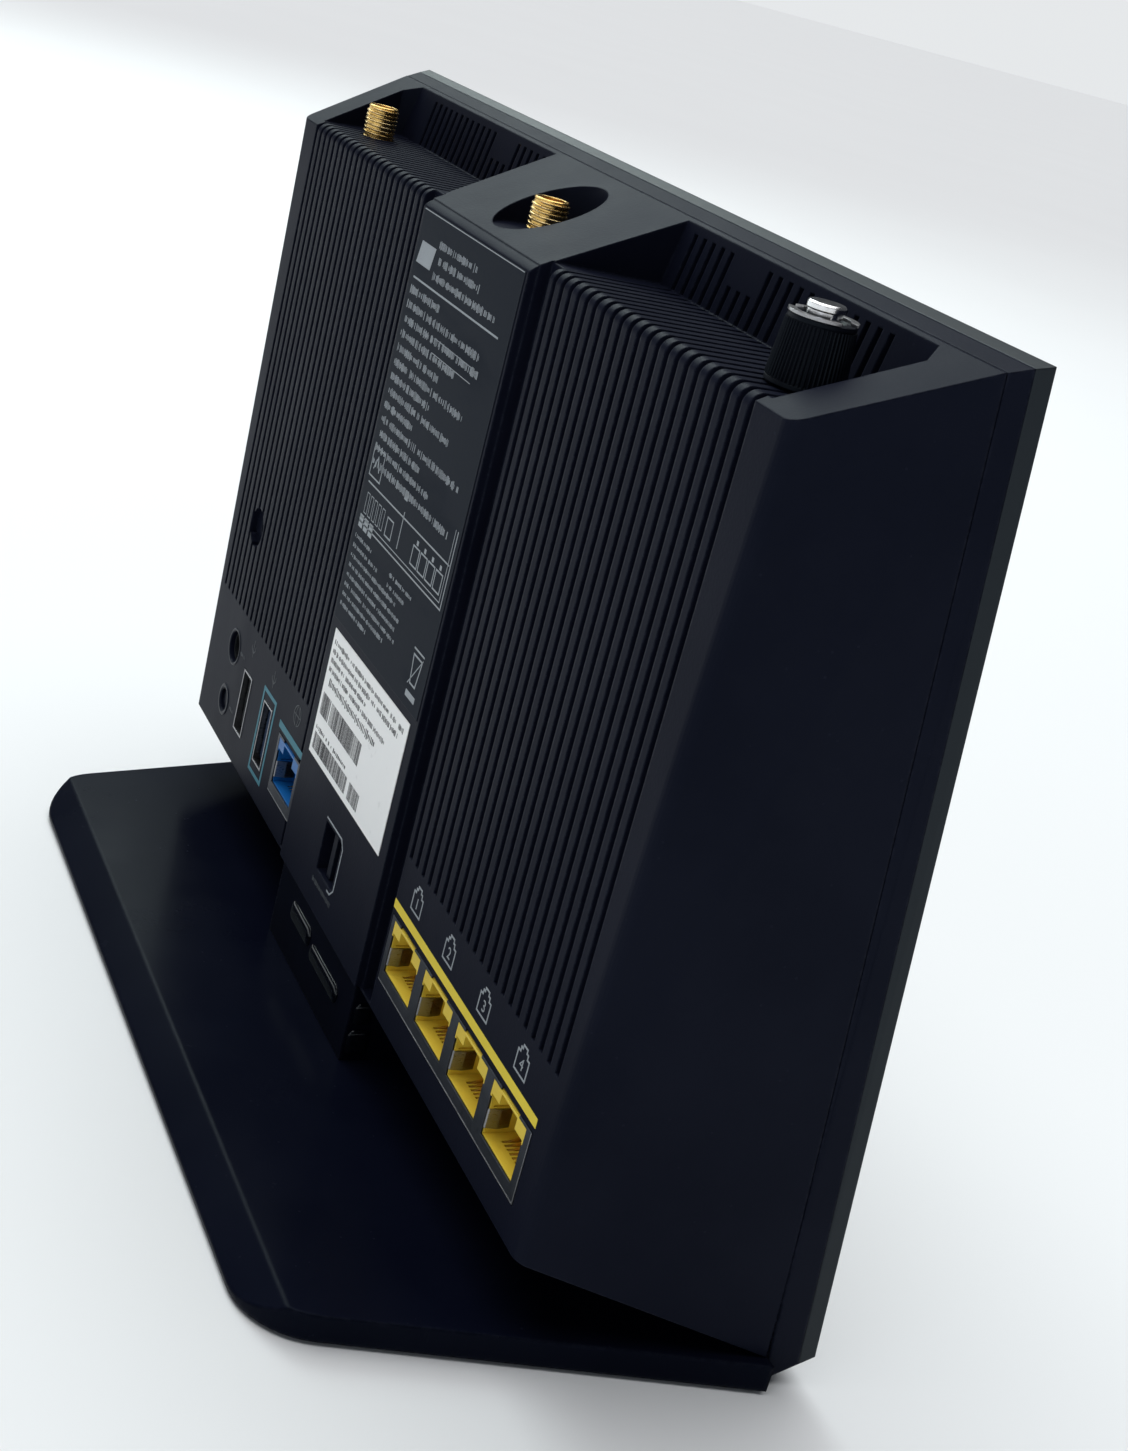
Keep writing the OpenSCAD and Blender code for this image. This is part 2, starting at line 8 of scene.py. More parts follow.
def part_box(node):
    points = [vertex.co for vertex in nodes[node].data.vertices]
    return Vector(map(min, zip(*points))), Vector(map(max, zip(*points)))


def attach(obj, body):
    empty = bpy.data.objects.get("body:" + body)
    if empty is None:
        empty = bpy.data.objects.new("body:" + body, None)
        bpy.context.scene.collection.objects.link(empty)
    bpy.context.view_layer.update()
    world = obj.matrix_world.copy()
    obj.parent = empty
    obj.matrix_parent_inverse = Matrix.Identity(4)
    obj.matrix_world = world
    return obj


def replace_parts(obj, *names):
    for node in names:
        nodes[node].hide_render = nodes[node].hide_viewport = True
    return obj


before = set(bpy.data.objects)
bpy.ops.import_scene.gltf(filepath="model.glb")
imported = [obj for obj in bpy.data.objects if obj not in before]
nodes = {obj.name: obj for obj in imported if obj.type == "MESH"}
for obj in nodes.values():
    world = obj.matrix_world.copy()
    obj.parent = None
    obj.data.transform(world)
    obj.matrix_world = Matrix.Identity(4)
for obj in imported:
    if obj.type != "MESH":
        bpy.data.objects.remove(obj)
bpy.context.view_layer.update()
mm = 0.001
print("frame loaded:", len(nodes), "pieces")


class Wire:
    # one output of a node; arithmetic on it adds Math nodes to the same tree
    def __init__(self, sheet, socket):
        self.sheet = sheet
        self.socket = socket

    def maths(self, operation, *values):
        return self.sheet.add("ShaderNodeMath", {"operation": operation}, dict(enumerate(values)))

    def __add__(self, other):
        return self.maths("ADD", self, other)

    def __radd__(self, other):
        return self.maths("ADD", other, self)

    def __sub__(self, other):
        return self.maths("SUBTRACT", self, other)

    def __rsub__(self, other):
        return self.maths("SUBTRACT", other, self)

    def __mul__(self, other):
        return self.maths("MULTIPLY", self, other)

    def __rmul__(self, other):
        return self.maths("MULTIPLY", other, self)

    def __truediv__(self, other):
        return self.maths("DIVIDE", self, other)

    def over(self, limit):
        return self.maths("GREATER_THAN", self, limit)

    def under(self, limit):
        return self.maths("LESS_THAN", self, limit)

    def least(self, other):
        return self.maths("MINIMUM", self, other)

    def most(self, other):
        return self.maths("MAXIMUM", self, other)

    def size(self):
        return self.maths("ABSOLUTE", self)

    def part(self):
        return self.maths("FRACT", self)

    def ease(self, low, high):
        # 0 below low, 1 above high, smooth between
        return self.sheet.add("ShaderNodeMapRange", {"interpolation_type": "SMOOTHSTEP"},
                              {"Value": self, "From Min": low, "From Max": high})

    def other(self, output):
        return Wire(self.sheet, self.socket.node.outputs[output])


class Sheet:
    # a node tree that is being filled in
    def __init__(self, tree):
        self.tree = tree

    def add(self, kind, settings=None, inputs=None, output=0):
        node = self.tree.nodes.new(kind)
        for key, value in (settings or {}).items():
            setattr(node, key, value)
        for key, value in (inputs or {}).items():
            if isinstance(value, Wire):
                self.tree.links.new(value.socket, node.inputs[key])
            else:
                node.inputs[key].default_value = value
        return Wire(self, node.outputs[output])


class Finish(Sheet):
    # one material: its Principled shader plus the patterns that feed it
    def __init__(self, name, **constants):
        self.material = bpy.data.materials.new(name)
        self.material.use_nodes = True
        super().__init__(self.material.node_tree)
        self.shader = self.tree.nodes["Principled BSDF"]
        self.spot = self.add("ShaderNodeTexCoord", output="Object")
        for key, value in constants.items():
            self.shader.inputs[socketNames[key]].default_value = value

    def noise(self, scale, detail=3, roughness=0.55, stretch=None, distortion=0):
        spot = self.spot
        if stretch:
            spot = self.add("ShaderNodeMapping", {"vector_type": "POINT"},
                            {"Vector": spot, "Scale": stretch})
        return self.add("ShaderNodeTexNoise", {}, {"Vector": spot, "Scale": scale, "Detail": detail,
                                                   "Roughness": roughness, "Distortion": distortion})

    def cells(self, scale, output=0):
        return self.add("ShaderNodeTexVoronoi", {"feature": "F1"}, {"Vector": self.spot, "Scale": scale},
                        output)

    def axes(self):
        x = self.add("ShaderNodeSeparateXYZ", inputs={"Vector": self.spot})
        return x, x.other(1), x.other(2)

    def blendColour(self, share, first, second):
        first = first if isinstance(first, Wire) else (*first, 1)
        second = second if isinstance(second, Wire) else (*second, 1)
        return self.add("ShaderNodeMix", {"data_type": "RGBA"}, {0: share, 6: first, 7: second}, 2)

    def rounded(self, radius):
        return self.add("ShaderNodeBevel", {"samples": 6}, {"Radius": radius * mm})

    def edges(self, radius):
        # how sharply the surface turns within the radius, 0 on flats
        soft = self.rounded(radius)
        flat = self.add("ShaderNodeNewGeometry", output="True Normal")
        along = self.add("ShaderNodeVectorMath", {"operation": "DOT_PRODUCT"}, {0: soft, 1: flat}, 1)
        return ((1 - along) * 6).least(1.0)

    def relief(self, height, depth, under=None):
        inputs = {"Height": height, "Strength": 1.0, "Distance": depth * mm}
        if under:
            inputs["Normal"] = under
        return self.add("ShaderNodeBump", {}, inputs)

    def feed(self, **wires):
        for key, wire in wires.items():
            self.tree.links.new(wire.socket, self.shader.inputs[socketNames[key]])
        return self.material


socketNames = {"colour": "Base Color", "roughness": "Roughness", "metal": "Metallic", "bend": "IOR",
               "gloss": "Specular IOR Level", "coat": "Coat Weight", "coatRoughness": "Coat Roughness",
               "clear": "Transmission Weight", "normal": "Normal", "glow": "Emission Color",
               "glowPower": "Emission Strength", "sheen": "Sheen Weight", "tint": "Specular Tint"}
coolTint = (0.74, 0.94, 1.0, 1)      # reflections on the dark plastics lean to blue-green


# moulded plastic in all its grades; sizes in millimetres
def mouldedPlastic(name, colour, second, rough=0.5, grain=0.3, depth=0.012, soften=0.3, wear=0.35,
                   dust=0.25, gloss=0.3, coat=0.0):
    finish = Finish(name, gloss=gloss, coat=coat, coatRoughness=0.12, tint=coolTint)
    cloud = finish.noise(38, 4, 0.6)
    fine = finish.noise(1000 / grain, 2, 0.5)
    pits = finish.cells(620 / grain)
    worn = finish.edges(soften * 1.6) * finish.noise(900, 3, 0.7).ease(0.42, 0.62)
    specks = finish.cells(420).under(0.085) * finish.noise(120, 2).ease(0.52, 0.6) * dust
    base = finish.blendColour(cloud.ease(0.3, 0.7), colour, second)
    lighter = tuple(min(1, c * 2.1 + 0.012) for c in second)
    base = finish.blendColour((worn * wear).most(specks), base, lighter)
    texture = fine * 0.6 + pits * 0.8
    smear = finish.noise(75, 5, 0.65, stretch=(1, 1, 0.35))
    roughness = rough + (smear - 0.5) * 0.16 + specks * 0.2 - worn * 0.08
    return finish.feed(colour=base, roughness=roughness,
                       normal=finish.relief(texture, depth, finish.rounded(soften)))


# sheet steel and chrome: brushing along one axis, stains and fine scratches
def rolledMetal(name, colour, second, rough=0.3, stretch=(1, 1, 14), depth=0.006, soften=0.15, stain=0.3):
    finish = Finish(name, metal=1.0)
    lines = finish.noise(900, 3, 0.6, stretch=stretch)
    patches = finish.noise(160, 5, 0.65, distortion=0.6)
    base = finish.blendColour(patches.ease(0.35, 0.7), colour, second)
    tarnish = finish.noise(420, 4, 0.7).ease(0.56, 0.72) * stain
    base = finish.blendColour(tarnish, base, tuple(c * 0.35 for c in second))
    roughness = rough + (lines - 0.5) * 0.22 + tarnish * 0.35
    return finish.feed(colour=base, roughness=roughness,
                       normal=finish.relief(lines, depth, finish.rounded(soften)))


# printing ink: slightly broken coverage with a rough top
def printedInk(name, colour, second, rough=0.55, gaps=0.35):
    finish = Finish(name, gloss=0.3)
    grain = finish.noise(5200, 2, 0.6)
    broken = grain.ease(0.5, 0.75) * gaps
    base = finish.blendColour(finish.noise(240, 3), colour, second)
    base = finish.blendColour(broken, base, tuple(c * 0.45 for c in second))
    return finish.feed(colour=base, roughness=rough + (grain - 0.5) * 0.2,
                       normal=finish.relief(grain, 0.006))


def panelFinish():
    # front panel: a low quilt of diamonds; alternate facets are painted lighter and darker as painted light
    # and shade, and the creases are painted darker as painted shade
    cut = {"pitch": 7.6, "height": 0.9, "crease": 0.3, "depth": 0.12}
    finish = Finish("quiltedPanel", gloss=0.2, coat=0.1, coatRoughness=0.2, tint=coolTint)
    x, _, z = finish.axes()
    step = cut["pitch"] * mm
    down = ((x + z) / step).part()
    up = ((x - z) / step).part()
    ridge = (down - 0.5).size() + (up - 0.5).size()
    crease = (down - 0.5).size().most((up - 0.5).size()).ease(0.455, 0.495)
    halves = down.over(0.5) + up.over(0.5)
    facet = halves.maths("MODULO", halves, 2)
    facing = finish.add("ShaderNodeNewGeometry", output="True Normal")
    front = finish.add("ShaderNodeSeparateXYZ", inputs={"Vector": facing}, output="Y").under(-0.7)
    facet, crease, ridge = facet * front, crease * front, ridge * front
    share = facet * 0.5 + finish.noise(60, 3) * 0.5
    # painted light and shade: alternate facets take the lighter or the darker tone, mixed with random tone
    base = finish.blendColour(share, (0.006, 0.008, 0.012), (0.014, 0.017, 0.024))
    # painted shade: the creases are painted darker
    base = finish.blendColour(crease, base, (0.003, 0.004, 0.006))
    roughness = 0.42 - front * 0.16 + facet * 0.12 + crease * 0.2 + (finish.noise(400, 3) - 0.5) * 0.1
    height = ridge * cut["height"] - crease * cut["crease"] + finish.noise(3000, 2) * 0.04
    return finish.feed(colour=base, roughness=roughness,
                       normal=finish.relief(height, cut["depth"], finish.rounded(0.35)))


def labelFinish():
    # matt printed film with a faint orange peel and a lighter rim where the ink stops
    finish = Finish("labelFilm", gloss=0.02, tint=coolTint)
    peel = finish.noise(1400, 2, 0.5)
    cloud = finish.noise(30, 3, 0.5)
    base = finish.blendColour(cloud, (0.0090, 0.0125, 0.0200), (0.0120, 0.0155, 0.0240))
    base = finish.blendColour(finish.edges(0.25) * 0.4, base, (0.06, 0.065, 0.075))
    rubbed = finish.noise(90, 4, 0.6, stretch=(0.3, 1, 1)).ease(0.5, 0.72)
    return finish.feed(colour=base, roughness=0.42 + rubbed * 0.1 + (peel - 0.5) * 0.08,
                       normal=finish.relief(peel, 0.004, finish.rounded(0.1)))


def paperFinish():
    finish = Finish("stickerPaper", gloss=0.35, sheen=0.1)
    fibres = finish.noise(2600, 4, 0.7, stretch=(1, 1, 0.35))
    cloud = finish.noise(70, 4, 0.6)
    base = finish.blendColour(cloud, (0.93, 0.93, 0.92), (0.87, 0.875, 0.88))
    base = finish.blendColour(finish.edges(0.3) * 0.5, base, (0.55, 0.55, 0.53))
    base = finish.blendColour(finish.noise(300, 3).ease(0.62, 0.7) * 0.2, base, (0.5, 0.5, 0.5))
    return finish.feed(colour=base, roughness=0.5 + (fibres - 0.5) * 0.2,
                       normal=finish.relief(fibres, 0.006))


def boardFinish():
    # green solder mask over copper tracks, with tinned pads
    finish = Finish("circuitBoard", gloss=0.5, coat=0.4, coatRoughness=0.2)
    x, _, z = finish.axes()
    wander = finish.cells(170, 1)
    shift = finish.add("ShaderNodeSeparateXYZ", inputs={"Vector": wander})
    lane = ((x + z * shift.over(0.5)) / (1.1 * mm)).part()
    track = lane.over(0.3) * lane.under(0.62) * shift.other(1).over(0.35)
    pads = finish.cells(330).under(0.19) * shift.other(2).over(0.6)
    base = finish.blendColour(finish.noise(50, 3), (0.008, 0.075, 0.035), (0.006, 0.055, 0.028))
    base = finish.blendColour(track * 0.7, base, (0.018, 0.16, 0.06))
    base = finish.blendColour(pads, base, (0.62, 0.62, 0.58))
    roughness = 0.4 - pads * 0.12 + finish.noise(900, 2) * 0.08
    return finish.feed(colour=base, metal=pads * 0.9, roughness=roughness,
                       normal=finish.relief(track + pads, 0.03))


def clearFinish(name, colour, power):
    finish = Finish(name, clear=0.65, bend=1.49, glowPower=power)
    haze = finish.noise(700, 3)
    base = finish.blendColour(haze, colour, tuple(c * 0.85 for c in colour))
    # glow in the part's own colour: on the lamp lenses it is the lamps' light, on the light guide it is
    # painted light
    return finish.feed(colour=base, glow=base, roughness=0.22 + haze * 0.2,
                       normal=finish.relief(haze, 0.01, finish.rounded(0.15)))


def goldFinish(name, rough=0.22):
    # flash gold: redder in patches, paler where it has rubbed
    finish = Finish(name, metal=1.0)
    patches = finish.noise(500, 4, 0.6)
    rub = finish.edges(0.12)
    base = finish.blendColour(patches, (0.86, 0.58, 0.19), (0.72, 0.45, 0.13))
    base = finish.blendColour(rub * 0.6, base, (0.95, 0.80, 0.50))
    dull = finish.noise(1600, 4, 0.7).ease(0.5, 0.7)
    base = finish.blendColour(dull * 0.35, base, (0.36, 0.22, 0.08))
    return finish.feed(colour=base, roughness=rough + dull * 0.25,
                       normal=finish.relief(patches, 0.01, finish.rounded(0.08)))


finishes = {
    "shell": mouldedPlastic("shellPlastic", (0.0056, 0.0068, 0.0150), (0.0074, 0.0088, 0.0180), rough=0.44,
                            grain=0.34, depth=0.012, soften=0.45, gloss=0.036),
    "foot": mouldedPlastic("footPlastic", (0.0022, 0.0030, 0.0085), (0.0032, 0.0042, 0.0105), rough=0.25,
                           grain=0.7, depth=0.003, soften=0.9, gloss=0.028, dust=0.3),
    "neck": mouldedPlastic("neckPlastic", (0.0020, 0.0026, 0.0075), (0.0028, 0.0036, 0.0095), rough=0.3,
                           grain=1.2, depth=0.002, soften=0.6, gloss=0.04),
    "lump": mouldedPlastic("glossyTrim", (0.0020, 0.0026, 0.0050), (0.0032, 0.0040, 0.0070), rough=0.07,
                           grain=2.5, depth=0.05, soften=0.3, gloss=0.12, coat=0.55, dust=0.05),
    "underside": mouldedPlastic("footUnderside", (0.008, 0.009, 0.011), (0.012, 0.013, 0.016), rough=0.6,
                                grain=0.5, depth=0.02, soften=0.25),
    "rubber": mouldedPlastic("padRubber", (0.012, 0.012, 0.013), (0.020, 0.020, 0.020), rough=0.8,
                             grain=0.4, depth=0.02, soften=0.3, gloss=0.2, dust=0.6),
    "button": mouldedPlastic("buttonPlastic", (0.0060, 0.0075, 0.0150), (0.0080, 0.0096, 0.0185), rough=0.36,
                             grain=0.5, depth=0.004, soften=0.3, gloss=0.08),
    "grip": mouldedPlastic("gripPlastic", (0.0030, 0.0036, 0.0075), (0.0042, 0.0050, 0.0095), rough=0.42,
                           grain=0.3, depth=0.006, soften=0.08, gloss=0.12),
    "black": mouldedPlastic("packageBlack", (0.008, 0.008, 0.009), (0.014, 0.014, 0.015), rough=0.5,
                            grain=0.25, depth=0.01, soften=0.15),
    "lead": mouldedPlastic("leadJacket", (0.010, 0.010, 0.011), (0.016, 0.016, 0.018), rough=0.42,
                           grain=0.5, depth=0.004, soften=0.2),
    "yellow": mouldedPlastic("socketYellow", (0.82, 0.60, 0.06), (0.74, 0.52, 0.045), rough=0.42,
                             grain=0.4, depth=0.006, soften=0.12, gloss=0.4, wear=0.2, dust=0.1),
    "deepBlue": mouldedPlastic("tongueBlue", (0.004, 0.018, 0.060), (0.006, 0.024, 0.075), rough=0.3,
                               grain=0.4, depth=0.004, soften=0.12, gloss=0.5, wear=0.1, dust=0.1),
    "blue": mouldedPlastic("socketBlue", (0.006, 0.125, 0.40), (0.005, 0.095, 0.32), rough=0.4,
                           grain=0.4, depth=0.006, soften=0.12, gloss=0.4, wear=0.2, dust=0.1),
    "pale": mouldedPlastic("tonguePale", (0.55, 0.57, 0.60), (0.48, 0.50, 0.53), rough=0.4,
                           grain=0.4, depth=0.004, soften=0.12, gloss=0.4, wear=0.1, dust=0.1),
    "cap": mouldedPlastic("capacitorSleeve", (0.016, 0.018, 0.05), (0.022, 0.025, 0.065), rough=0.3,
                          grain=0.6, depth=0.003, soften=0.3, gloss=0.5),
    "steel": rolledMetal("socketSteel", (0.060, 0.066, 0.080), (0.040, 0.045, 0.056), rough=0.42),
    "leaf": rolledMetal("springLeaf", (0.30, 0.30, 0.31), (0.22, 0.22, 0.23), rough=0.3),
    "chrome": rolledMetal("chromePlate", (0.86, 0.86, 0.87), (0.76, 0.76, 0.77), rough=0.16, stain=0.15),
    "screw": rolledMetal("screwSteel", (0.42, 0.42, 0.43), (0.34, 0.34, 0.35), rough=0.3, stretch=(1, 1, 1)),
    "alloy": rolledMetal("sinkAlloy", (0.62, 0.63, 0.64), (0.54, 0.55, 0.57), rough=0.38, stretch=(8, 1, 1)),
    "gold": goldFinish("goldPlate"),
    "wire": goldFinish("wireGold", 0.3),
    "panel": panelFinish(),
    "label": labelFinish(),
    "paper": paperFinish(),
    "board": boardFinish(),
    # the light guide holds no lamp: its faint glow is painted light
    "clear": clearFinish("guideClear", (0.75, 0.80, 0.84), 0.02),
    "lamp": clearFinish("lampLens", (0.80, 0.88, 0.95), 0.08),
    "inkWhite": printedInk("inkGrey", (0.34, 0.37, 0.40), (0.27, 0.295, 0.32), gaps=0.2),
    "inkFaint": printedInk("inkFaint", (0.075, 0.085, 0.095), (0.055, 0.062, 0.070)),
    "inkBlack": printedInk("inkBlack", (0.035, 0.035, 0.038), (0.055, 0.055, 0.06)),
    "inkYellow": printedInk("inkYellow", (0.84, 0.66, 0.055), (0.76, 0.59, 0.045), gaps=0.1),
    "inkTeal": printedInk("inkTeal", (0.045, 0.21, 0.27), (0.035, 0.17, 0.23), gaps=0.15),
}
print("finishes mixed:", len(finishes))

nodeFinish = {
    "shell": ["rear_housing", "front_cover"], "panel": ["front_panel"], "clear": ["light_guide"],
    "neck": ["stand_neck"], "foot": ["foot_shell"], "underside": ["foot_cover"], "rubber": ["foot_pads"],
    "screw": ["foot_screws", "board_screws", "dc_pin", "antenna_nuts", "collar_ring"],
    "label": ["label_film"], "paper": ["barcode_sticker"],
    "steel": ["lan_shield", "wan_shield", "shield_cans"], "leaf": ["usb2_shell", "usb3_shell"],
    "yellow": ["lan_insert"], "blue": ["wan_insert"], "deepBlue": ["usb3_tongue"],
    "wire": ["lan_contacts", "wan_contacts"],
    "black": ["usb2_tongue", "dc_jack", "processor_chips", "magnetics", "tact_switches"],
    "button": ["power_button", "reset_button", "led_button", "wps_button", "wifi_button"],
    "gold": ["connector_left", "connector_centre", "connector_right"], "grip": ["antenna_collar"],
    "chrome": ["collar_stub"], "lead": ["coax_leads"], "board": ["main_board", "status_board"],
    "alloy": ["heat_sink"], "cap": ["capacitors"], "lamp": ["status_leds"],
}
for finishName, members in nodeFinish.items():
    for member in members:
        nodes[member].data.materials.clear()
        nodes[member].data.materials.append(finishes[finishName])
missed = sorted(set(nodes) - {m for ms in nodeFinish.values() for m in ms})
print("pieces with a finish:", len(nodes) - len(missed), missed)


# mesh helpers, all in metres and in place
def pieceFrom(name, shape, finishName, body="chassis", smooth=False):
    mesh = bpy.data.meshes.new(name)
    bmesh.ops.remove_doubles(shape, verts=shape.verts, dist=1e-7)
    bmesh.ops.recalc_face_normals(shape, faces=shape.faces)
    shape.to_mesh(mesh)
    shape.free()
    for face in mesh.polygons:
        face.use_smooth = smooth
    mesh.materials.append(finishes[finishName])
    return place(name, mesh, body)


def place(name, mesh, body="chassis"):
    piece = bpy.data.objects.new(name, mesh)
    bpy.context.scene.collection.objects.link(piece)
    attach(piece, body)
    return piece


def addSlab(shape, corners, low, high, axis=1):
    # a flat outline, in the plane across the axis, given thickness along it
    def at(corner, level):
        point = list(corner)
        point.insert(axis, level)
        return Vector(point) * mm
    bottom = [shape.verts.new(at(c, low)) for c in corners]
    top = [shape.verts.new(at(c, high)) for c in corners]
    shape.faces.new(bottom)
    shape.faces.new(top[::-1])
    for i in range(len(corners)):
        j = (i + 1) % len(corners)
        shape.faces.new((bottom[i], top[i], top[j], bottom[j]))


def addLine(shape, points, width, low, high, closed=False):
    # mitred ribbon along points of the back plane
    count = len(points)
    sides = []
    for i, p in enumerate(points):
        before = points[i - 1] if closed or i > 0 else None
        after = points[(i + 1) % count] if closed or i < count - 1 else None
        ways = [(Vector(b) - Vector(a)).normalized() for a, b in ((before, p), (p, after)) if a and b]
        along = sum(ways, Vector((0, 0))).normalized()
        out = Vector((-along.y, along.x))
        reach = width / 2 / max(0.4, out.dot(Vector((-ways[0].y, ways[0].x))))
        sides.append((Vector(p) + out * reach, Vector(p) - out * reach))
    rings = [[shape.verts.new(Vector((side.x, level, side.y)) * mm)
              for side, level in ((a, low), (a, high), (b, high), (b, low))] for a, b in sides]
    for i in range(count if closed else count - 1):
        near, far = rings[i], rings[(i + 1) % count]
        for k in range(4):
            m = (k + 1) % 4
            shape.faces.new((near[k], near[m], far[m], far[k]))
    if not closed:
        shape.faces.new(rings[0])
        shape.faces.new(rings[-1][::-1])


def addLathe(shape, profile, centre, steps=48, axis="z"):
    # closed outline of (radius, height) turned round an upright or a fore-and-aft axis
    rings = []
    for k in range(steps):
        turn = 2 * math.pi * k / steps
        ring = []
        for r, h in profile:
            across, along = r * math.cos(turn), r * math.sin(turn)
            spot = (centre[0] + across, centre[1] + along, h) if axis == "z" else \
                (centre[0] + across, h, centre[1] + along)
            ring.append(shape.verts.new(Vector(spot) * mm))
        rings.append(ring)
    for k in range(steps):
        near, far = rings[k], rings[(k + 1) % steps]
        for i in range(len(profile)):
            j = (i + 1) % len(profile)
            if profile[i][0] < 1e-6 and profile[j][0] < 1e-6:
                continue
            if profile[i][0] < 1e-6:
                shape.faces.new((near[i], near[j], far[j]))
            elif profile[j][0] < 1e-6:
                shape.faces.new((near[i], near[j], far[i]))
            else:
                shape.faces.new((near[i], near[j], far[j], far[i]))


def boxInMm(name):
    low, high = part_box(name)
    return [c / mm for c in low], [c / mm for c in high]


# growing trees: what repeats is made by Geometry Nodes
class GrowTree(Sheet):
    def __init__(self, name, sizes):
        tree = bpy.data.node_groups.new(name, "GeometryNodeTree")
        tree.interface.new_socket(name="Geometry", in_out="INPUT", socket_type="NodeSocketGeometry")
        tree.interface.new_socket(name="Geometry", in_out="OUTPUT", socket_type="NodeSocketGeometry")
        for label, value in sizes.items():
            kind = "NodeSocketInt" if isinstance(value, int) else "NodeSocketFloat"
            tree.interface.new_socket(name=label, in_out="INPUT", socket_type=kind)
        super().__init__(tree)
        self.given = tree.nodes.new("NodeGroupInput")
        self.sizes = sizes

    def value(self, label):
        return Wire(self, self.given.outputs[label])

    def ready(self, geometry, finishName):
        solid = self.add("GeometryNodeRealizeInstances", inputs={"Geometry": geometry})
        dressed = self.add("GeometryNodeSetMaterial", inputs={"Geometry": solid,
                                                              "Material": finishes[finishName]})
        end = self.tree.nodes.new("NodeGroupOutput")
        self.tree.links.new(dressed.socket, end.inputs[0])
        return self

    def grow(self, name, seedMesh, **changes):
        # runs the tree on a seed mesh and returns the plain mesh it makes
        seed = bpy.data.objects.new(name + "Seed", seedMesh)
        bpy.context.scene.collection.objects.link(seed)
        modifier = seed.modifiers.new("grow", "NODES")
        modifier.node_group = self.tree
        values = {**self.sizes, **changes}
        for item in self.tree.interface.items_tree:
            if item.in_out == "INPUT" and item.name in values:
                modifier[item.identifier] = values[item.name]
        bpy.context.view_layer.update()
        grown = seed.evaluated_get(bpy.context.evaluated_depsgraph_get())
        mesh = bpy.data.meshes.new_from_object(grown)
        mesh.name = name
        bpy.data.objects.remove(seed)
        return mesh


def emptySeed():
    mesh = bpy.data.meshes.new("seed")
    mesh.from_pydata([(0, 0, 0)], [], [])
    return mesh


def rowSeed(rows):
    # each row is (x from, x to, y of its plane, z of its middle, letter height), in millimetres
    mesh = bpy.data.meshes.new("rows")
    points, joins, tall = [], [], []
    for x0, x1, y, z, height in rows:
        joins.append((len(points), len(points) + 1))
        points += [(x0 * mm, y * mm, z * mm), (x1 * mm, y * mm, z * mm)]
        tall += [height * mm, height * mm]
    mesh.from_pydata(points, joins, [])
    attribute = mesh.attributes.new("tall", "FLOAT", "POINT")
    attribute.data.foreach_set("value", tall)
    return mesh


def strokeTree(name, finishName):
    # strokes of uneven height and width along every row, with gaps between groups
    tree = GrowTree(name, {"Pitch": 0.42 * mm, "Thickness": 0.03 * mm, "Filled": 0.86, "Least width": 0.3,
                           "Most width": 0.72, "Least height": 0.45, "Seed": 3})
    line = tree.add("GeometryNodeMeshToCurve", inputs={"Mesh": tree.value("Geometry")})
    dots = tree.add("GeometryNodeResampleCurve", {"mode": "LENGTH"},
                    {"Curve": line, "Length": tree.value("Pitch")})

    def chance(low, high, shift):
        return tree.add("FunctionNodeRandomValue", {"data_type": "FLOAT"},
                        {2: low, 3: high, "Seed": tree.value("Seed") + shift}, 1)
    tall = tree.add("GeometryNodeInputNamedAttribute", {"data_type": "FLOAT"}, {"Name": "tall"})
    wide = chance(tree.value("Least width"), tree.value("Most width"), 1) * tree.value("Pitch")
    high = chance(tree.value("Least height"), 1.0, 2) * tall
    size = tree.add("ShaderNodeCombineXYZ", inputs={0: wide, 1: tree.value("Thickness"), 2: high})
    keep = chance(0.0, 1.0, 3).under(tree.value("Filled"))
    stroke = tree.add("GeometryNodeMeshCube", inputs={"Size": (1, 1, 1)})
    rows = tree.add("GeometryNodeInstanceOnPoints",
                    inputs={"Points": dots, "Selection": keep, "Instance": stroke, "Scale": size})
    return tree.ready(rows, finishName)


# label print: rows of broken strokes, a divider, a plan of the sockets and plain marks
labelPrint = {"raise": 0.03, "sunk": 0.005, "edge": 1.6, "line": 0.26, "rowPitch": 2.55,
              "rowHeight": 1.5, "rowsDown": 13.6, "smallPitch": 1.85, "smallHeight": 0.85,
              "smallDown": 58.2}
labelLow, labelHigh = boxInMm("label_film")
labelY = labelHigh[1]
left, right = labelHigh[0] - labelPrint["edge"], labelLow[0] + labelPrint["edge"]
top = labelHigh[2]
inkMiddle = labelPrint["raise"] / 2
rowY = labelY + inkMiddle
headRows = [(12.4, -5.5, 4.2), (11.4, -7.0, 6.7), (12.6, -15.5, 9.4)]     # from, to, down from the top
widths = [14, 34, 35, 26, 20, 33, 19, 30, 14, 38, 21, 27, 38]
rows = [(a, b, rowY, top - down, labelPrint["rowHeight"]) for a, b, down in headRows]
for i, width in enumerate(widths):
    z = top - labelPrint["rowsDown"] - i * labelPrint["rowPitch"]
    rows.append((left, left - width, rowY, z, labelPrint["rowHeight"]))
for i, width in enumerate([9, 13, 24, 27, 26, 27, 22, 14]):
    z = top - labelPrint["smallDown"] - i * labelPrint["smallPitch"]
    rows.append((left, left - width, rowY, z, labelPrint["smallHeight"]))
rows += [(2, -9, rowY, top - 58.4, 0.8), (2, -6.5, rowY, top - 60.3, 0.8)]
inkRows = strokeTree("inkRows", "inkWhite")
place("label_rows", inkRows.grow("labelRows", rowSeed(rows)))

lines = bmesh.new()
inkLow, inkHigh = labelY - labelPrint["sunk"], labelY + labelPrint["raise"]


def mark(points, width=labelPrint["line"], closed=False):
    addLine(lines, points, width, inkLow, inkHigh, closed)


def rectangle(x0, x1, z0, z1):
    return [(x0, z0), (x1, z0), (x1, z1), (x0, z1)]


